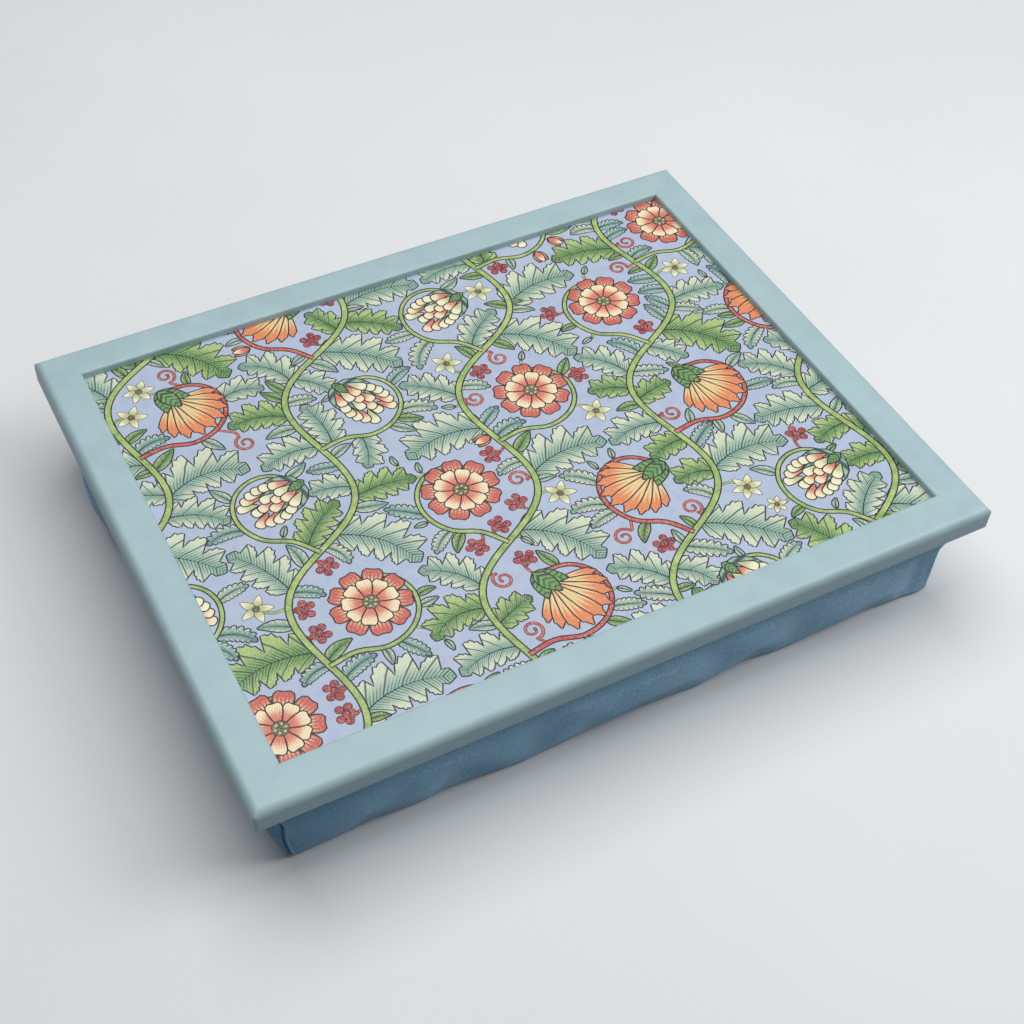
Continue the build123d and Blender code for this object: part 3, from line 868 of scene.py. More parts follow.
def faux_suede():
    """Mid-blue suede cloth: brushed nap in soft light and dark patches, painted light towards its right end,
    painted shade towards its left end and in its seam grooves, and a painted highlight on each seam ridge.
    """
    suede, tree, shader, place = start_finish(
        "faux_suede",
        0.88,
        Specular_IOR_Level=0.2,
        Sheen_Weight=1.0,
        Sheen_Roughness=0.4,
        Sheen_Tint=srgb(180, 206, 228),
    )
    parts = add_node(tree, "ShaderNodeSeparateXYZ", {"Vector": place})
    patches = ramp(tree, grain(tree, stretched(tree, place, (22, 22, 40)), 1, 4, 0.55), 0.32, 0.68)
    brushed = ramp(tree, grain(tree, stretched(tree, place, (120, 120, 60)), 1, 4, 0.65), 0.3, 0.7)
    fibre = grain(tree, place, 950, 3, 0.7)
    colour = blend(tree, patches, srgb(163, 209, 236), srgb(178, 222, 246))
    colour = blend(tree, sums(tree, "MULTIPLY", brushed, 0.35), colour, srgb(190, 222, 240))
    # Painted light: the cloth is coloured lighter towards its right end.
    painted_light_right = ramp(tree, parts.outputs["X"], painted_shade_to, -painted_shade_to, 0.0, 0.7)
    colour = blend(tree, painted_light_right, colour, srgb(206, 238, 255))
    colour = blend(tree, ramp(tree, fibre, 0.36, 0.64, 0.0, 0.7), colour, srgb(118, 162, 192))
    # Painted shade: the cloth is coloured darker towards its left end.
    painted_shade_left = ramp(tree, parts.outputs["X"], painted_shade_from, painted_shade_to, 0.5, 0.0)
    colour = blend(tree, painted_shade_left, colour, srgb(96, 136, 168))
    seam = add_node(tree, "ShaderNodeAttribute", attribute_name="seam").outputs["Fac"]
    stitched = sums(tree, "PINGPONG", parts.outputs["Z"], seam_stitch)
    stitched = ramp(tree, stitched, stitch_gap_start, stitch_gap_end, 0.7, 1.0)
    # Painted shade along each seam's groove, a little broken at the stitch pitch.
    groove = sums(tree, "MULTIPLY", ramp(tree, seam, 0.0, 1.0), stitched)
    colour = blend(tree, groove, colour, srgb(24, 38, 56))
    # Painted highlight on the raised ridge beside each corner seam.
    colour = blend(tree, ramp(tree, seam, -0.5, 0.0, 0.55, 0.0), colour, srgb(164, 200, 226))
    height = sums(tree, "ADD", fibre, sums(tree, "MULTIPLY", brushed, 0.8))
    end_finish(tree, shader, colour, height, nap_depth, 0.8)
    return suede


def side_reach(height):
    """How far the cushion's walls stand from its centre at a height, and how much they swell."""
    draw, right_draw, swell, rear = (
        np.interp(height, wall_heights, shares)
        for shares in (draw_shares, right_shares, swell_shares, rear_shares)
    )
    turn = math.asin(min(1.0, max(0.0, (wall_foot - height) / foot_roll)))
    roll = foot_roll * (1 - math.cos(turn))
    ends = end_face - cover_inset - roll - np.array((draw, right_draw)) * end_draw
    half_width = front_face - cover_inset - draw * side_draw - roll
    flat = zip_face - rear * rear_draw - roll if swell > 0.1 else half_width
    return ends, half_width, flat, swell


def side_places(half_core, core_count):
    """Column places on one side: fixed ones at its middle and shares of what is left at its ends."""
    core = np.linspace(-half_core, half_core, core_count)
    outer_shares = np.linspace(0, 1, outer_count + 1)[1:] ** 0.9
    return core, outer_shares


def spread_columns(places, ends):
    """One side's column places, stretched to its two ends at this height."""
    core, outer_shares = places
    before, after = (core[-1] + (end - core[-1]) * outer_shares for end in ends)
    return np.concatenate([-before[::-1], core, after])


def hill(along, place, spread):
    """A soft rise to one round a place."""
    return np.exp(-(((along - place) / spread) ** 2))


def side_bulge(side, along, height):
    """How far a wall stands out of its drawn form, in the soft waves of a bead-filled bag."""
    up = max(0.0, math.sin(math.pi * min(1.0, height / shoulder_foot))) ** 0.8
    low = hill(height, 0, foot_wave_rise)
    depth, run, start = ripples[side]
    ripple = depth * np.sin(along / run + start)
    if side == "front":
        pleat = pleat_depth * hill(along, pleat_place, pleat_width)
        tuck = tuck_depth * np.clip((along - pleat_place) / tuck_run + 1, 0, 1)
        drawn_in = low * np.interp(along, wave_places, wave_depths)
        return up * (ripple * np.cos(along / front_swing) - pleat - tuck) - drawn_in
    if side == "left":
        hump = left_hump * hill(along, left_hump_place, left_hump_spread)
        return up * (hump + ripple * hill(along, left_ripple_place, left_ripple_spread))
    if side == "right":
        return up * (right_hump * hill(along, right_hump_place, right_hump_spread) + ripple)
    beside = np.clip((abs(along) - flat_half) / rear_fade, 0, 1) if band_foot < height < band_top else 1
    return low * ripple * beside


def cushion_ring(height, gripped=True):
    """The cushion's outline at one height, from the front left corner round against the clock."""
    ends, half_width, flat, swell = side_reach(height)
    left_end, right_end = ends
    blend_share = min(1.0, height / shoulder_foot)
    rounding = foot_blend + (corner_blend - foot_blend) * math.sqrt(blend_share)
    grip = min(1.0, max(0.0, (height - shoulder_foot) / board_grip + 1)) if gripped else 0.0
    rounding += (board_blend - rounding) * (3 - 2 * grip) * grip**2
    length_way = spread_columns(length_places, ends - rounding)
    width_way = spread_columns(width_places, (half_width - rounding, half_width - rounding))
    reach = np.where(length_way < 0, left_end, right_end)
    front_out = half_width + swell * side_swell * (1 - (length_way / reach) ** 2)
    end_out = swell * end_swell * (1 - (width_way / half_width) ** 2)
    past = np.clip((abs(length_way) - flat_half) / (reach - flat_half), 0, 1)
    rear_out = flat + (half_width - flat) * past**2
    front_out = front_out + side_bulge("front", length_way, height)
    right_out = right_end + end_out + side_bulge("right", width_way, height)
    rear_out = rear_out + side_bulge("rear", length_way, height)
    left_out = left_end + end_out + side_bulge("left", width_way, height)
    sides = [
        np.stack([length_way, -front_out], 1),
        np.stack([right_out, width_way], 1),
        np.stack([length_way, rear_out], 1)[::-1],
        np.stack([-left_out, width_way], 1)[::-1],
    ]
    ring = []
    for side in range(4):
        here, there = sides[side], sides[(side + 1) % 4]
        corner = np.array((there[0, 0], here[-1, 1]) if side % 2 == 0 else (here[-1, 0], there[0, 1]))
        share = np.linspace(0, 1, corner_count + 2)[1:-1, None]
        turn = (1 - share) ** 2 * here[-1] + 2 * share * (1 - share) * corner + share**2 * there[0]
        ring += [here, turn]
    return np.concatenate(ring)


def cushion_rows():
    """Heights from the foot's edge up the wall to the clamped edge, closer at the zip's seam."""
    turns = np.radians(np.linspace(90, 0, 10))
    foot_edge = math.asin(wall_foot / foot_roll)
    rolled = [wall_foot - foot_roll * math.sin(t) for t in turns if t < foot_edge]
    lower = np.linspace(wall_foot, zip_height - window_margin, 13)[1:]
    seam = [zip_height + step * mm for step in seam_rows]
    upper = np.linspace(zip_height + window_margin, rail_foot, 11)
    return np.concatenate([[0.0], rolled, lower, seam, upper])


length_places = side_places(window_half, length_count)
width_places = side_places(width_core, width_count)
rows = cushion_rows()
rings = np.array([cushion_ring(height) for height in rows])
corner_slack = np.array([cushion_ring(height, False) for height in rows]) - rings
column_count = rings.shape[1]
tiny = 0.01 * mm
wall = np.concatenate([rings, np.broadcast_to(rows[:, None, None], rings.shape[:2] + (1,))], 2)
side_columns = [length_count + 2 * outer_count, width_count + 2 * outer_count] * 2
corner_starts = [sum(side_columns[: k + 1]) + k * corner_count for k in range(4)]


def simulated_shift(points):
    """How the cloth moves each point of the wall when the filled bag presses it out."""
    closed = points.reshape(-1, 3)
    bag = add_piece("cloth_trial", closed, ring_faces(*points.shape[:2]), [])
    bpy.context.view_layer.objects.active = bag
    remesh = bag.modifiers.new("even", "REMESH")
    remesh.mode = "VOXEL"
    remesh.voxel_size = cloth_voxel
    bpy.ops.object.modifier_apply(modifier=remesh.name)
    rest = np.array([v.co for v in bag.data.vertices])
    held = bag.vertex_groups.new(name="held")
    for index, (x, y, z) in enumerate(rest):
        fixed = z > rail_foot - held_top or z < held_foot
        zip_band = y > zip_face - held_band and abs(x) < flat_half and band_foot < z < band_top
        if fixed or zip_band:
            held.add([index], 1.0, "REPLACE")
    cloth = bag.modifiers.new("cloth", "CLOTH")
    for setting, value in cloth_settings.items():
        setattr(cloth.settings, setting, value)
    cloth.settings.effector_weights.gravity = 0
    for step in range(cloth_steps):
        bpy.context.scene.frame_set(step + 1)
    graph = bpy.context.evaluated_depsgraph_get()
    shown = bag.evaluated_get(graph).to_mesh()
    shift = np.array([v.co for v in shown.vertices]) - rest
    bpy.context.scene.frame_set(1)
    bpy.data.objects.remove(bag)
    tree = kdtree.KDTree(len(rest))
    for index, place in enumerate(rest):
        tree.insert(place, index)
    tree.balance()
    moved = np.zeros_like(closed)
    for index, place in enumerate(closed):
        near = tree.find_n(place, near_count)
        weights = np.array([1 / (distance + near_reach) ** 2 for _, _, distance in near])
        moved[index] = weights @ shift[[found for _, found, _ in near]] / weights.sum()
    return moved.reshape(points.shape)


def ring_normals(points):
    """Outward level directions of the rings, from their neighbours on each side."""
    ahead = np.roll(points, -1, 1) - np.roll(points, 1, 1)
    out = np.stack([ahead[..., 1], -ahead[..., 0], np.zeros(ahead.shape[:2])], 2)
    return out / np.maximum(np.linalg.norm(out, axis=2, keepdims=True), 1e-12)


move_cap, least_inset = 4.0 * mm, 0.2 * mm
zip_fade, window_fade = 4 * mm, 12 * mm
smoothing_rounds = 6
shift = simulated_shift(wall)
for _ in range(smoothing_rounds):
    shift = shift / 2 + np.roll(shift, 1, 1) / 4 + np.roll(shift, -1, 1) / 4
    shift[1:-1] = shift[1:-1] / 2 + shift[:-2] / 4 + shift[2:] / 4
longest = np.linalg.norm(shift, axis=2, keepdims=True)
shift *= np.minimum(1, move_cap / np.maximum(longest, 1e-9))
inward = np.sum(shift * ring_normals(wall), axis=2, keepdims=True)
shift -= ring_normals(wall) * np.minimum(inward + least_inset, 0)
beyond_tape = np.clip((abs(wall[..., 2] - zip_height) - tape_half) / zip_fade, 0, 1)
beyond_window = np.clip((abs(wall[..., 0]) - window_half) / window_fade, 0, 1)
not_rear = np.clip((zip_face - 2 * tape_half - wall[..., 1]) / zip_fade, 0, 1)
wall = wall + shift * np.maximum.reduce([beyond_tape, beyond_window, not_rear])[..., None]
wall[..., 2] = np.maximum(wall[..., 2], 0)
wall[0, :, 2] = 0


def seam_relief(points):
    """Moves the wall in at its corner seams and along the zip's seam, and marks how deep, for the painted
    shade in each groove and the painted highlight on each ridge.
    """
    depth = np.zeros(points.shape[:2])
    mark = np.zeros(points.shape[:2])
    fade = np.clip(rows / seam_foot_fade, 0, 1) * np.clip((rail_foot - rows) / seam_top_fade, 0.3, 1)
    pucker = 0.8 + 0.2 * np.cos(2 * math.pi * rows / pucker_pitch)
    place = np.interp(rows, (0, 0.4 * rail_foot, rail_foot), seam_places)
    for corner, start in enumerate(corner_starts):
        way = 1 if corner in (1, 3) else -1
        columns = np.arange(start - seam_reach, start + corner_count + seam_reach) % column_count
        for row in range(len(rows)):
            arc = points[row, columns]
            run = np.concatenate([[0], np.cumsum(np.linalg.norm(np.diff(arc, axis=0), axis=1))])
            share = place[row] if way > 0 else 1 - place[row]
            centre = np.interp(seam_reach + share * (corner_count - 1), np.arange(len(columns)), run)
            groove = hill(run, centre, seam_width)
            ridge = hill(run, centre + way * ridge_gap, ridge_width)
            depth[row, columns] += fade[row] * (ridge_height * ridge - pucker[row] * seam_depth * groove)
            # The mark sets painted shade in the groove and a painted highlight on the ridge.
            mark[row, columns] += fade[row] * (groove - 0.5 * ridge)
    beside = hill(rows, zip_height, seam_width)
    # Painted shade along the zip's seam.
    depth[:, strip_start : strip_end + 1] -= beside[:, None] * zip_seam_depth
    mark[:, strip_start : strip_end + 1] += beside[:, None]
    return points + ring_normals(points) * depth[..., None], np.clip(mark, -1, 1)


seam_step = round(seam_places[-1] * corner_count)
strip_start, strip_end = corner_starts[1] + seam_step, corner_starts[2] + corner_count - seam_step
wall, seam_shade_marks = seam_relief(wall)

base_shares = (0.985, 0.96, 0.92, 0.86, 0.76, 0.62, 0.45, 0.25, 0.08)
flange_shares = (0.15, 0.5, 1.0)
base_rings = [wall[0] * (share, share, 0) for share in reversed(base_shares)]
top = wall[-1]
flange_rings = []
for share in flange_shares:
    reach = 1 - share * flange_width / np.maximum(abs(top[:, :1]), abs(top[:, 1:2]))
    flange_rings.append(top * np.concatenate([reach, reach, np.ones_like(reach)], 1))
sheet = np.concatenate([np.array(base_rings), wall, np.array(flange_rings)])
# The seam marks, which place the painted seam shade and highlight, padded for the base and flange rings.
marks = np.pad(seam_shade_marks, ((len(base_rings), len(flange_rings)), (0, 0)))
first_wall_row = len(base_rings)
rear_start = corner_starts[1] + corner_count
window_start = rear_start + outer_count
window_end = window_start + length_count - 1


def strip_face(ring, column):
    """Whether a face belongs to the strip above the zip, inside the rear corner seams."""
    row = ring - first_wall_row
    return 0 <= row < len(rows) - 1 and rows[row] > zip_height - tiny and strip_start <= column < strip_end


def window_face(ring, column):
    """Whether a face lies in the zip's window."""
    row = ring - first_wall_row
    level = 0 <= row < len(rows) - 1 and max(abs(rows[row : row + 2] - zip_height)) < window_margin + tiny
    return level and window_start <= column < window_end


def add_cover(name, wanted, closing, suede):
    """One piece of the cover from the wanted faces of the sheet, thickened inwards."""
    faces = []
    for ring in range(len(sheet) - 1):
        for column in range(column_count):
            if window_face(ring, column) or not wanted(ring, column):
                continue
            after = (column + 1) % column_count
            here, over = ring * column_count, (ring + 1) * column_count
            faces.append((here + column, here + after, over + after, over + column))
    if closing:
        faces.append(tuple(reversed(range(column_count))))
    cover = add_piece(name, sheet.reshape(-1, 3), faces, [suede], 60)
    # The seam attribute carries where the painted seam shade and highlight go.
    seam = cover.data.attributes.new("seam", "FLOAT", "POINT")
    seam.data.foreach_set("value", marks.reshape(-1))
    loose = bmesh.new()
    loose.from_mesh(cover.data)
    bmesh.ops.delete(loose, geom=[v for v in loose.verts if not v.link_faces], context="VERTS")
    loose.to_mesh(cover.data)
    loose.free()
    wall_thickness = cover.modifiers.new("wall", "SOLIDIFY")
    wall_thickness.thickness = cover_thickness
    wall_thickness.offset = -1
    return cover


suede = faux_suede()
cushion_cover = add_cover("suede_cover", lambda ring, column: not strip_face(ring, column), True, suede)
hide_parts("cushion_cover")
rear_strip = add_cover("suede_rear_strip", strip_face, False, suede)
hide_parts("rear_cover_strip")
for piece in (cushion_cover, rear_strip):
    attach(piece, "tray")


# Bead bag and beads
# An inner bag of plain cotton keeps the polystyrene beads together when the cover is off for
# washing. It lies loose in the cover, just clear of the zip.

bag_inset = 2.0 * mm
bead_inset = 2.7 * mm
bag_cloth = 0.4 * mm
weave_depth, bead_depth = 0.08 * mm, 1.2 * mm
board_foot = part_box("cushion_board")[0].z
slider_clearance = 0.4 * mm
bag_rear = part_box("zip_slider")[0].y - slider_clearance
cap_shares = (0.97, 0.85, 0.6, 0.3, 0.08)


def plain_cotton():
    """Undyed cotton in a fine plain weave."""
    cotton, tree, shader, place = start_finish("bag_cotton", 0.9, Specular_IOR_Level=0.2, Sheen_Weight=0.15)
    inputs = {"Vector": place, "Scale": 260.0, "Distortion": 0.4}
    threads = [add_node(tree, "ShaderNodeTexWave", inputs, bands_direction=way) for way in ("X", "Y", "Z")]
    weave = sums(tree, "MAXIMUM", threads[0].outputs["Fac"], threads[1].outputs["Fac"])
    weave = sums(tree, "ADD", weave, threads[2].outputs["Fac"])
    crumple = ramp(tree, grain(tree, place, 45, 4), 0.3, 0.7)
    colour = blend(tree, crumple, srgb(222, 217, 203), srgb(236, 232, 221))
    end_finish(tree, shader, colour, weave, weave_depth, 0.5)
    return cotton


def bead_mass():
    """White foam beads of a few millimetres, packed side by side, with painted shade in the gaps between
    them.
    """
    beads, tree, shader, place = start_finish("foam_beads", 0.7, Subsurface_Weight=0.1)
    cells = add_node(tree, "ShaderNodeTexVoronoi", {"Vector": place, "Scale": 290.0})
    dome = ramp(tree, cells.outputs["Distance"], 0.0, 0.75, 1.0, 0.0)
    # Painted shade: each bead is coloured grey towards its rim, where it meets the next.
    painted_gap_shade = blend(tree, ramp(tree, dome, 0.0, 0.45), srgb(176, 178, 180), srgb(244, 245, 246))
    end_finish(tree, shader, painted_gap_shade, dome, bead_depth, 0.9)
    return beads


def add_inner_form(name, inset, foot, top, finish):
    """A closed form inside the cover, moved in from its wall."""
    lining = wall + np.pad(corner_slack, ((0, 0), (0, 0), (0, 1)))
    heights = foot + (top - foot) * rows / rail_foot
    level = np.interp(heights, rows, range(len(rows)))
    lower = level.astype(int)
    share = (level - lower)[:, None, None]
    shape = lining[lower] * (1 - share) + lining[lower + 1] * share
    shape = (shape - ring_normals(shape) * inset)[::2, ::3]
    shape[..., 2] = heights[::2, None]
    shape[..., 1] = np.minimum(shape[..., 1], bag_rear - (inset - bag_inset))
    below = [shape[0] * (share, share, 1) for share in reversed(cap_shares)]
    above = [shape[-1] * (share, share, 1) for share in cap_shares]
    rounds = np.concatenate([below, shape, above])
    return add_piece(name, rounds.reshape(-1, 3), ring_faces(*rounds.shape[:2]), [finish], 60)


bag = add_inner_form("cotton_bag", bag_inset, cover_thickness, board_foot, plain_cotton())
bag_wall = bag.modifiers.new("wall", "SOLIDIFY")
bag_wall.thickness = bag_cloth
bag_wall.offset = -1
bead_foot, bead_top = cover_thickness + 2 * bag_cloth, board_foot - 2 * bag_cloth
beads = add_inner_form("beads", bead_inset, bead_foot, bead_top, bead_mass())
inner_forms = ((bag, "bead_bag", "bag_cotton", 0.6), (beads, "bead_fill", "foam_beads", 0.6))
for piece, node, slot, fill in inner_forms:
    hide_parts(node)
    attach(piece, "tray")


# Zip
# A nylon coil zip in matching blue is sewn behind the window in the back wall: two woven tapes, a
# coil along each, metal stops at their ends, and a die-cast slider with its pull.

tooth_pitch = 1.5 * mm
tooth_wire = 0.46 * mm
stitch_pitch = 3.6 * mm
stitch_length = 2.7 * mm
stitch_width = 0.5 * mm
stitch_inset = 2.2 * mm
stitch_rise = 1.6 * mm
stitch_lift = 0.22 * mm
window_end_inset = 3.5 * mm
stop_round, casting_round = 0.2 * mm, 0.18 * mm
polish_depth = 0.003 * mm
tape_zigzag, tape_rib, rib_depth = 1.1 * mm, 0.35 * mm, 0.12 * mm
nylon_depth, thread_depth = 0.03 * mm, 0.05 * mm
tape_count = 65
weld_reach = 0.001 * mm


def woven_tape():
    """Blue polyester tape in a fine herringbone."""
    tape, tree, shader, place = start_finish("zip_tape", 0.75, Specular_IOR_Level=0.3, Sheen_Weight=0.1)
    parts = add_node(tree, "ShaderNodeSeparateXYZ", {"Vector": place})
    zigzag = sums(tree, "PINGPONG", parts.outputs["Z"], tape_zigzag)
    slant = sums(tree, "ADD", parts.outputs["X"], zigzag)
    rib = ramp(tree, sums(tree, "PINGPONG", slant, tape_rib), 0.0, tape_rib)
    colour = blend(tree, rib, srgb(70, 104, 138), srgb(108, 146, 180))
    end_finish(tree, shader, colour, rib, rib_depth, 0.7)
    return tape


def nylon(name, colour, deep):
    """Moulded nylon wire, a little glossy, with faint variation along it."""
    coil, tree, shader, place = start_finish(name, 0.38)
    uneven = ramp(tree, grain(tree, place, 700, 3), 0.35, 0.65)
    colour = blend(tree, uneven, colour, deep)
    end_finish(tree, shader, colour, grain(tree, place, 3500, 2), nylon_depth, 0.4)
    return coil


def sewing_thread():
    """Twisted polyester thread, a little lighter than the cloth."""
    thread, tree, shader, place = start_finish("sewing_thread", 0.55, Sheen_Weight=0.2)
    twist = add_node(tree, "ShaderNodeTexWave", {"Vector": place, "Scale": 900.0}, bands_direction="DIAGONAL")
    ply = twist.outputs["Fac"]
    colour = blend(tree, ply, srgb(140, 176, 204), srgb(196, 218, 234))
    end_finish(tree, shader, colour, ply, thread_depth, 0.6)
    return thread


def start_repeat_tree(name, sizes):
    """An empty tree for repeats, with its named sizes and its finish as inputs."""
    tree = bpy.data.node_groups.new(name, "GeometryNodeTree")
    tree.interface.new_socket("Shape", in_out="INPUT", socket_type="NodeSocketGeometry")
    for size, kind in sizes.items():
        tree.interface.new_socket(size, in_out="INPUT", socket_type=kind)
    tree.interface.new_socket("Finish", in_out="INPUT", socket_type="NodeSocketMaterial")
    tree.interface.new_socket("Shape", in_out="OUTPUT", socket_type="NodeSocketGeometry")
    return tree, tree.nodes.new("NodeGroupInput"), tree.nodes.new("NodeGroupOutput")


def end_repeat_tree(tree, given, output, repeats):
    """Makes the repeats real, gives them their finish and sends them out."""
    real = add_node(tree, "GeometryNodeRealizeInstances", {"Geometry": repeats})
    inputs = {"Geometry": real.outputs["Geometry"], "Material": given.outputs["Finish"]}
    finished = add_node(tree, "GeometryNodeSetMaterial", inputs)
    tree.links.new(finished.outputs["Geometry"], output.inputs["Shape"])
    return tree


def row_tree():
    """Repeats the object's own shape in a row along X."""
    tree, given, output = start_repeat_tree("row", {"Count": "NodeSocketInt", "Pitch": "NodeSocketFloat"})
    offset = add_node(tree, "ShaderNodeCombineXYZ", {"X": given.outputs["Pitch"]}).outputs["Vector"]
    line = add_node(tree, "GeometryNodeMeshLine", {"Count": given.outputs["Count"], "Offset": offset})
    inputs = {"Points": line.outputs["Mesh"], "Instance": given.outputs["Shape"]}
    row = add_node(tree, "GeometryNodeInstanceOnPoints", inputs)
    return end_repeat_tree(tree, given, output, row.outputs["Instances"])


def stitch_tree():
    """Lays stitches end to end along the object's own edges."""
    sizes = {"Pitch": "NodeSocketFloat", "Length": "NodeSocketFloat", "Width": "NodeSocketFloat"}
    tree, given, output = start_repeat_tree("stitches", sizes)
    path = add_node(tree, "GeometryNodeMeshToCurve", {"Mesh": given.outputs["Shape"]}).outputs["Curve"]
    inputs = {"Curve": path, "Length": given.outputs["Pitch"]}
    even = add_node(tree, "GeometryNodeResampleCurve", inputs, mode="LENGTH").outputs["Curve"]
    inputs = {"Radius": 0.5, "Segments": 8, "Rings": 5}
    ball = add_node(tree, "GeometryNodeMeshUVSphere", inputs).outputs["Mesh"]
    widths = {"X": given.outputs["Length"], "Y": given.outputs["Width"], "Z": given.outputs["Width"]}
    scale = add_node(tree, "ShaderNodeCombineXYZ", widths).outputs["Vector"]
    stitch = add_node(tree, "GeometryNodeTransform", {"Geometry": ball, "Scale": scale}).outputs["Geometry"]
    ahead = add_node(tree, "GeometryNodeInputTangent").outputs["Tangent"]
    turn = add_node(tree, "FunctionNodeAlignRotationToVector", {"Vector": ahead}, axis="X")
    inputs = {"Points": even, "Instance": stitch, "Rotation": turn.outputs["Rotation"]}
    row = add_node(tree, "GeometryNodeInstanceOnPoints", inputs)
    return end_repeat_tree(tree, given, output, row.outputs["Instances"])


def repeat_shape(piece, tree, finish, **sizes):
    """Runs a repeat tree on a piece and leaves the result as its plain mesh."""
    repeat = piece.modifiers.new("repeat", "NODES")
    repeat.node_group = tree
    for socket in tree.interface.items_tree:
        if socket.in_out == "INPUT" and socket.name in sizes:
            repeat[socket.identifier] = sizes[socket.name]
        if socket.in_out == "INPUT" and socket.name == "Finish":
            repeat[socket.identifier] = finish
    graph = bpy.context.evaluated_depsgraph_get()
    result = bpy.data.meshes.new_from_object(piece.evaluated_get(graph))
    piece.modifiers.clear()
    piece.data = result
    result.shade_smooth()
    return piece


def add_tape(place, way, finish):
    """One tape: a flat woven strip with a thicker cord along the edge that carries the coil."""
    low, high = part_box(f"zip_tape_{place}")
    inner = low.z if way > 0 else high.z
    span = way * (high.z - low.z)
    mid = (low.y + high.y) / 2
    half = (high.y - low.y) / 2
    section = [(0, half), (0.08, half), (0.1, half * 0.8), (0.96, half * 0.8), (1, 0.3 * half)]
    section = section + [(share, -thick) for share, thick in reversed(section)]
    columns = np.linspace(low.x, high.x, tape_count)
    points = [(x, mid + thick, inner + span * share) for x in columns for share, thick in section]
    faces = ring_faces(len(columns), len(section))
    if way < 0:
        faces = [tuple(reversed(face)) for face in faces]
    return add_piece(f"tape_{place}", points, faces, [finish], 50)


def add_coil(place, way, finish, tree):
    """One nylon coil: a bent wire that is repeated along the row's length."""
    low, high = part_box(f"zip_teeth_{place}")
    inner = low.z if way > 0 else high.z
    depth, width = high.y - low.y, high.z - low.z
    path_shares = [(0.22, 1.0), (0.62, 0.8), (0.8, 0.45), (0.74, 0.08), (0.45, 0.0), (0.25, 0.3)]
    ring_count, sides = len(path_shares), 6
    points = []
    for step, (out_share, across_share) in enumerate(path_shares):
        bulge = 1.25 if step in (3, 4) else 1.0
        lean = tooth_pitch * 0.28 * step / ring_count
        for turn in np.arange(sides) * 2 * math.pi / sides:
            along = low.x + tooth_pitch / 2 + lean + tooth_wire * bulge * math.cos(turn)
            out = low.y + depth * out_share + tooth_wire * 0.8 * math.sin(turn)
            points.append((along, out, inner + way * width * across_share))
    coil = add_piece(f"coil_{place}", points, ring_faces(ring_count, sides), [], 60)
    shape = bmesh.new()
    shape.from_mesh(coil.data)
    bmesh.ops.recalc_face_normals(shape, faces=shape.faces)
    shape.to_mesh(coil.data)
    shape.free()
    count = int((high.x - low.x) / tooth_pitch)
    return repeat_shape(coil, tree, finish, Count=count, Pitch=tooth_pitch)


def add_stitches(name, paths, finish, tree):
    """Stitches along a few open paths on the cover."""
    points, edges = [], []
    for path in paths:
        start = len(points)
        points += [tuple(p) for p in path]
        edges += [(k, k + 1) for k in range(start, len(points) - 1)]
    mesh = bpy.data.meshes.new(name)
    mesh.from_pydata(points, edges, [])
    row = link_object(name, mesh)
    return repeat_shape(row, tree, finish, Pitch=stitch_pitch, Length=stitch_length, Width=stitch_width)


def add_casting(name, node, finish, edge_round):
    """A small casting: the solid's own shape with every edge rounded over."""
    shape = bmesh.new()
    shape.from_mesh(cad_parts[node].data)
    bmesh.ops.remove_doubles(shape, verts=shape.verts, dist=weld_reach)
    flat = math.radians(1)
    bmesh.ops.dissolve_limit(shape, angle_limit=flat, verts=shape.verts, edges=shape.edges)
    mesh = bpy.data.meshes.new(name)
    shape.to_mesh(mesh)
    shape.free()
    mesh.materials.clear()
    mesh.materials.append(finish)
    mesh.shade_smooth()
    mesh.set_sharp_from_angle(angle=math.radians(50))
    piece = link_object(name, mesh)
    bevel = piece.modifiers.new("edges", "BEVEL")
    bevel.width = edge_round
    bevel.segments = 3
    bevel.limit_method = "ANGLE"
    bevel.angle_limit = math.radians(35)
    bevel.harden_normals = True
    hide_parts(node)
    return piece


tape_finish = woven_tape()
coil_finish = nylon("zip_teeth", srgb(96, 134, 170), srgb(78, 114, 150))
thread_finish = sewing_thread()
rows_of_teeth = row_tree()
rows_of_stitches = stitch_tree()
for place, way in (("upper", 1), ("lower", -1)):
    tape = add_tape(place, way, tape_finish)
    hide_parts(f"zip_tape_{place}")
    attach(tape, "tray")
    coil = add_coil(place, way, coil_finish, rows_of_teeth)
    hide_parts(f"zip_teeth_{place}")
    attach(coil, "tray")

stitch_face = zip_face + stitch_lift
end = window_half + window_end_inset
paths = []
for way in (1, -1):
    level = zip_height + way * (window_margin + stitch_inset)
    paths.append([(-end, stitch_face, level), (end, stitch_face, level)])
    paths.append([(way * end, stitch_face, zip_height + up * window_margin) for up in (-1, 1)])
seam_row = int(np.argmin(abs(rows - (zip_height + stitch_rise))))
seam_line = wall[seam_row, corner_starts[1] + corner_count : corner_starts[2]] + (0, stitch_lift, 0)
for way in (1, -1):
    paths.append(seam_line[way * seam_line[:, 0] > end + stitch_inset])
stitches = add_stitches("zip_stitches", paths, thread_finish, rows_of_stitches)
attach(stitches, "tray")

bright_nickel, dull_nickel = srgb(222, 222, 220), srgb(206, 206, 204)
nickel_lines = (260, 900, 2600)
metal = drawn_metal("zip_metal", bright_nickel, dull_nickel, 0.2, nickel_lines, 180, polish_depth)
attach(add_casting("stops", "zip_stops", metal, stop_round), "tray")
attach(add_casting("slider_body", "zip_slider", metal, casting_round), "slider")
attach(add_casting("pull_tab", "zip_pull", metal, casting_round), "pull")


# Floor, light and camera
# A plain pale floor under plain soft studio light. The camera stands where the photograph was taken.

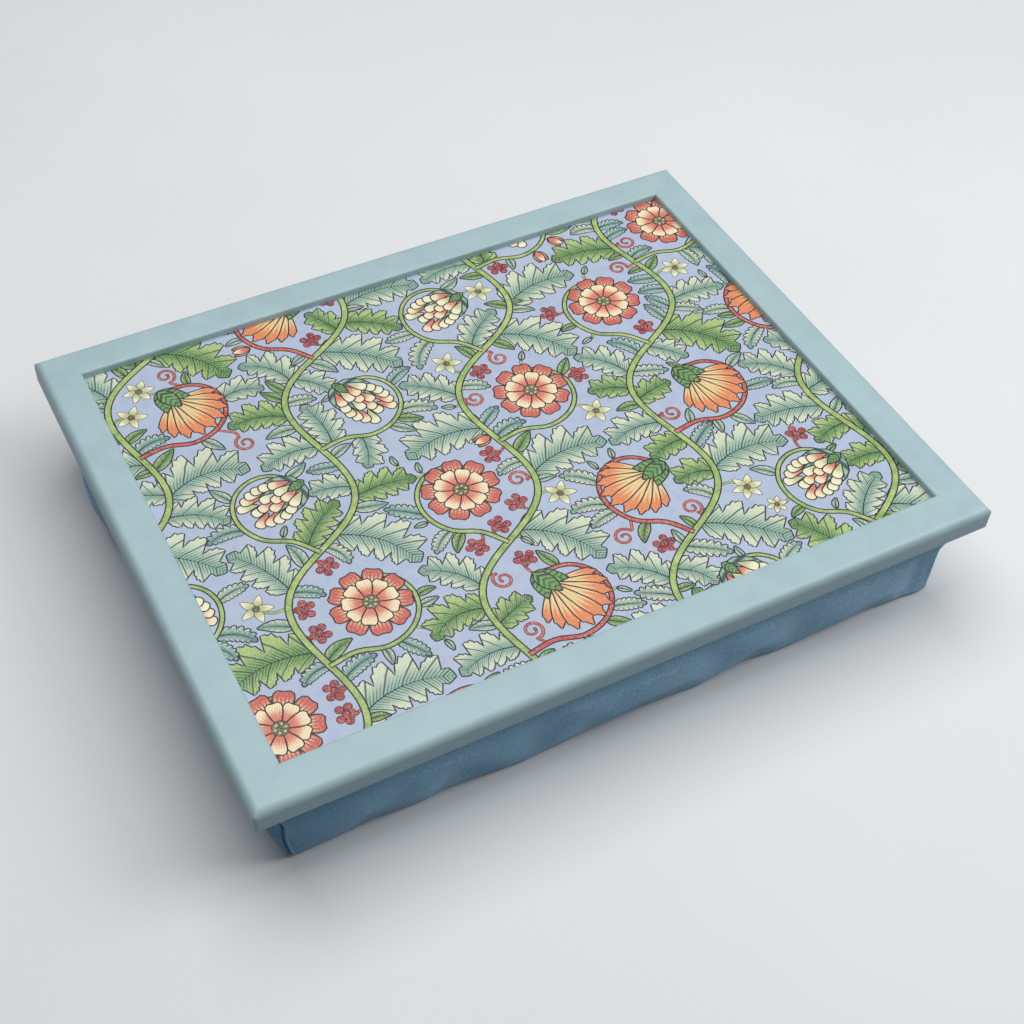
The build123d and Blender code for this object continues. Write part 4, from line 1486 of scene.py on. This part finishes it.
camera_place = Vector((-322.6, -566.7, 743.7)) * mm
camera_aim = Vector((-41.1, -47.2, 75.0)) * mm
camera_roll = 1.82
camera_lens = 57.34
camera_shift = 0.040
floor_size = 6.0
overhead_place, overhead_size, overhead_power = (0.0, 0.4, 1.9), 1.7, 27
beside_place, beside_size, beside_power = (1.1, -0.6, 1.4), 0.9, 14
sky_colour, sky_strength = (0.82, 0.93, 1.0, 1.0), 0.16


def add_floor(size):
    """A wide pale floor that bounces as little light up as a grey one does."""
    floor, tree, shader, place = start_finish("floor", 0.9)
    rays = add_node(tree, "ShaderNodeLightPath")
    seen = sums(tree, "MAXIMUM", rays.outputs["Is Camera Ray"], rays.outputs["Is Glossy Ray"])
    seen = sums(tree, "MAXIMUM", seen, rays.outputs["Is Transmission Ray"])
    mottle = ramp(tree, grain(tree, place, 3, 3), 0.3, 0.7, 0.0, 1.0)
    pale = blend(tree, mottle, srgb(226, 226, 226), srgb(231, 231, 231))
    tree.links.new(blend(tree, seen, srgb(98, 118, 128), pale), shader.inputs["Base Color"])
    half = size / 2
    corners = [(-half, -half, 0), (half, -half, 0), (half, half, 0), (-half, half, 0)]
    ground = add_piece("floor", corners, [(0, 1, 2, 3)], [floor])
    ground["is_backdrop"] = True


def add_softbox(name, place, size, power):
    """A square soft light that faces the tray."""
    lamp = bpy.data.lights.new(name, "AREA")
    lamp.shape = "SQUARE"
    lamp.size = size
    lamp.energy = power
    holder = link_object(name, lamp)
    holder.location = place
    holder.rotation_euler = (-Vector(place)).to_track_quat("-Z", "Y").to_euler()


def add_camera():
    """The camera at the photograph's place, aimed, rolled and shifted to its frame."""
    lens = bpy.data.cameras.new("camera")
    lens.sensor_width = 36
    lens.lens = camera_lens
    lens.shift_x = camera_shift
    lens.clip_start = 0.01
    holder = link_object("camera", lens)
    aim = (camera_aim - camera_place).to_track_quat("-Z", "Y")
    holder.location = camera_place
    holder.rotation_euler = aim.to_matrix().to_euler()
    holder.rotation_euler.rotate_axis("Z", math.radians(camera_roll))
    bpy.context.scene.camera = holder


add_floor(floor_size)
add_softbox("overhead", overhead_place, overhead_size, overhead_power)
add_softbox("beside", beside_place, beside_size, beside_power)
world = bpy.data.worlds.new("studio")
world.use_nodes = True
sky = world.node_tree.nodes["Background"]
sky.inputs["Color"].default_value = sky_colour
sky.inputs["Strength"].default_value = sky_strength
bpy.context.scene.world = world
bpy.context.scene.view_settings.view_transform = "Standard"
add_camera()

low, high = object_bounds()
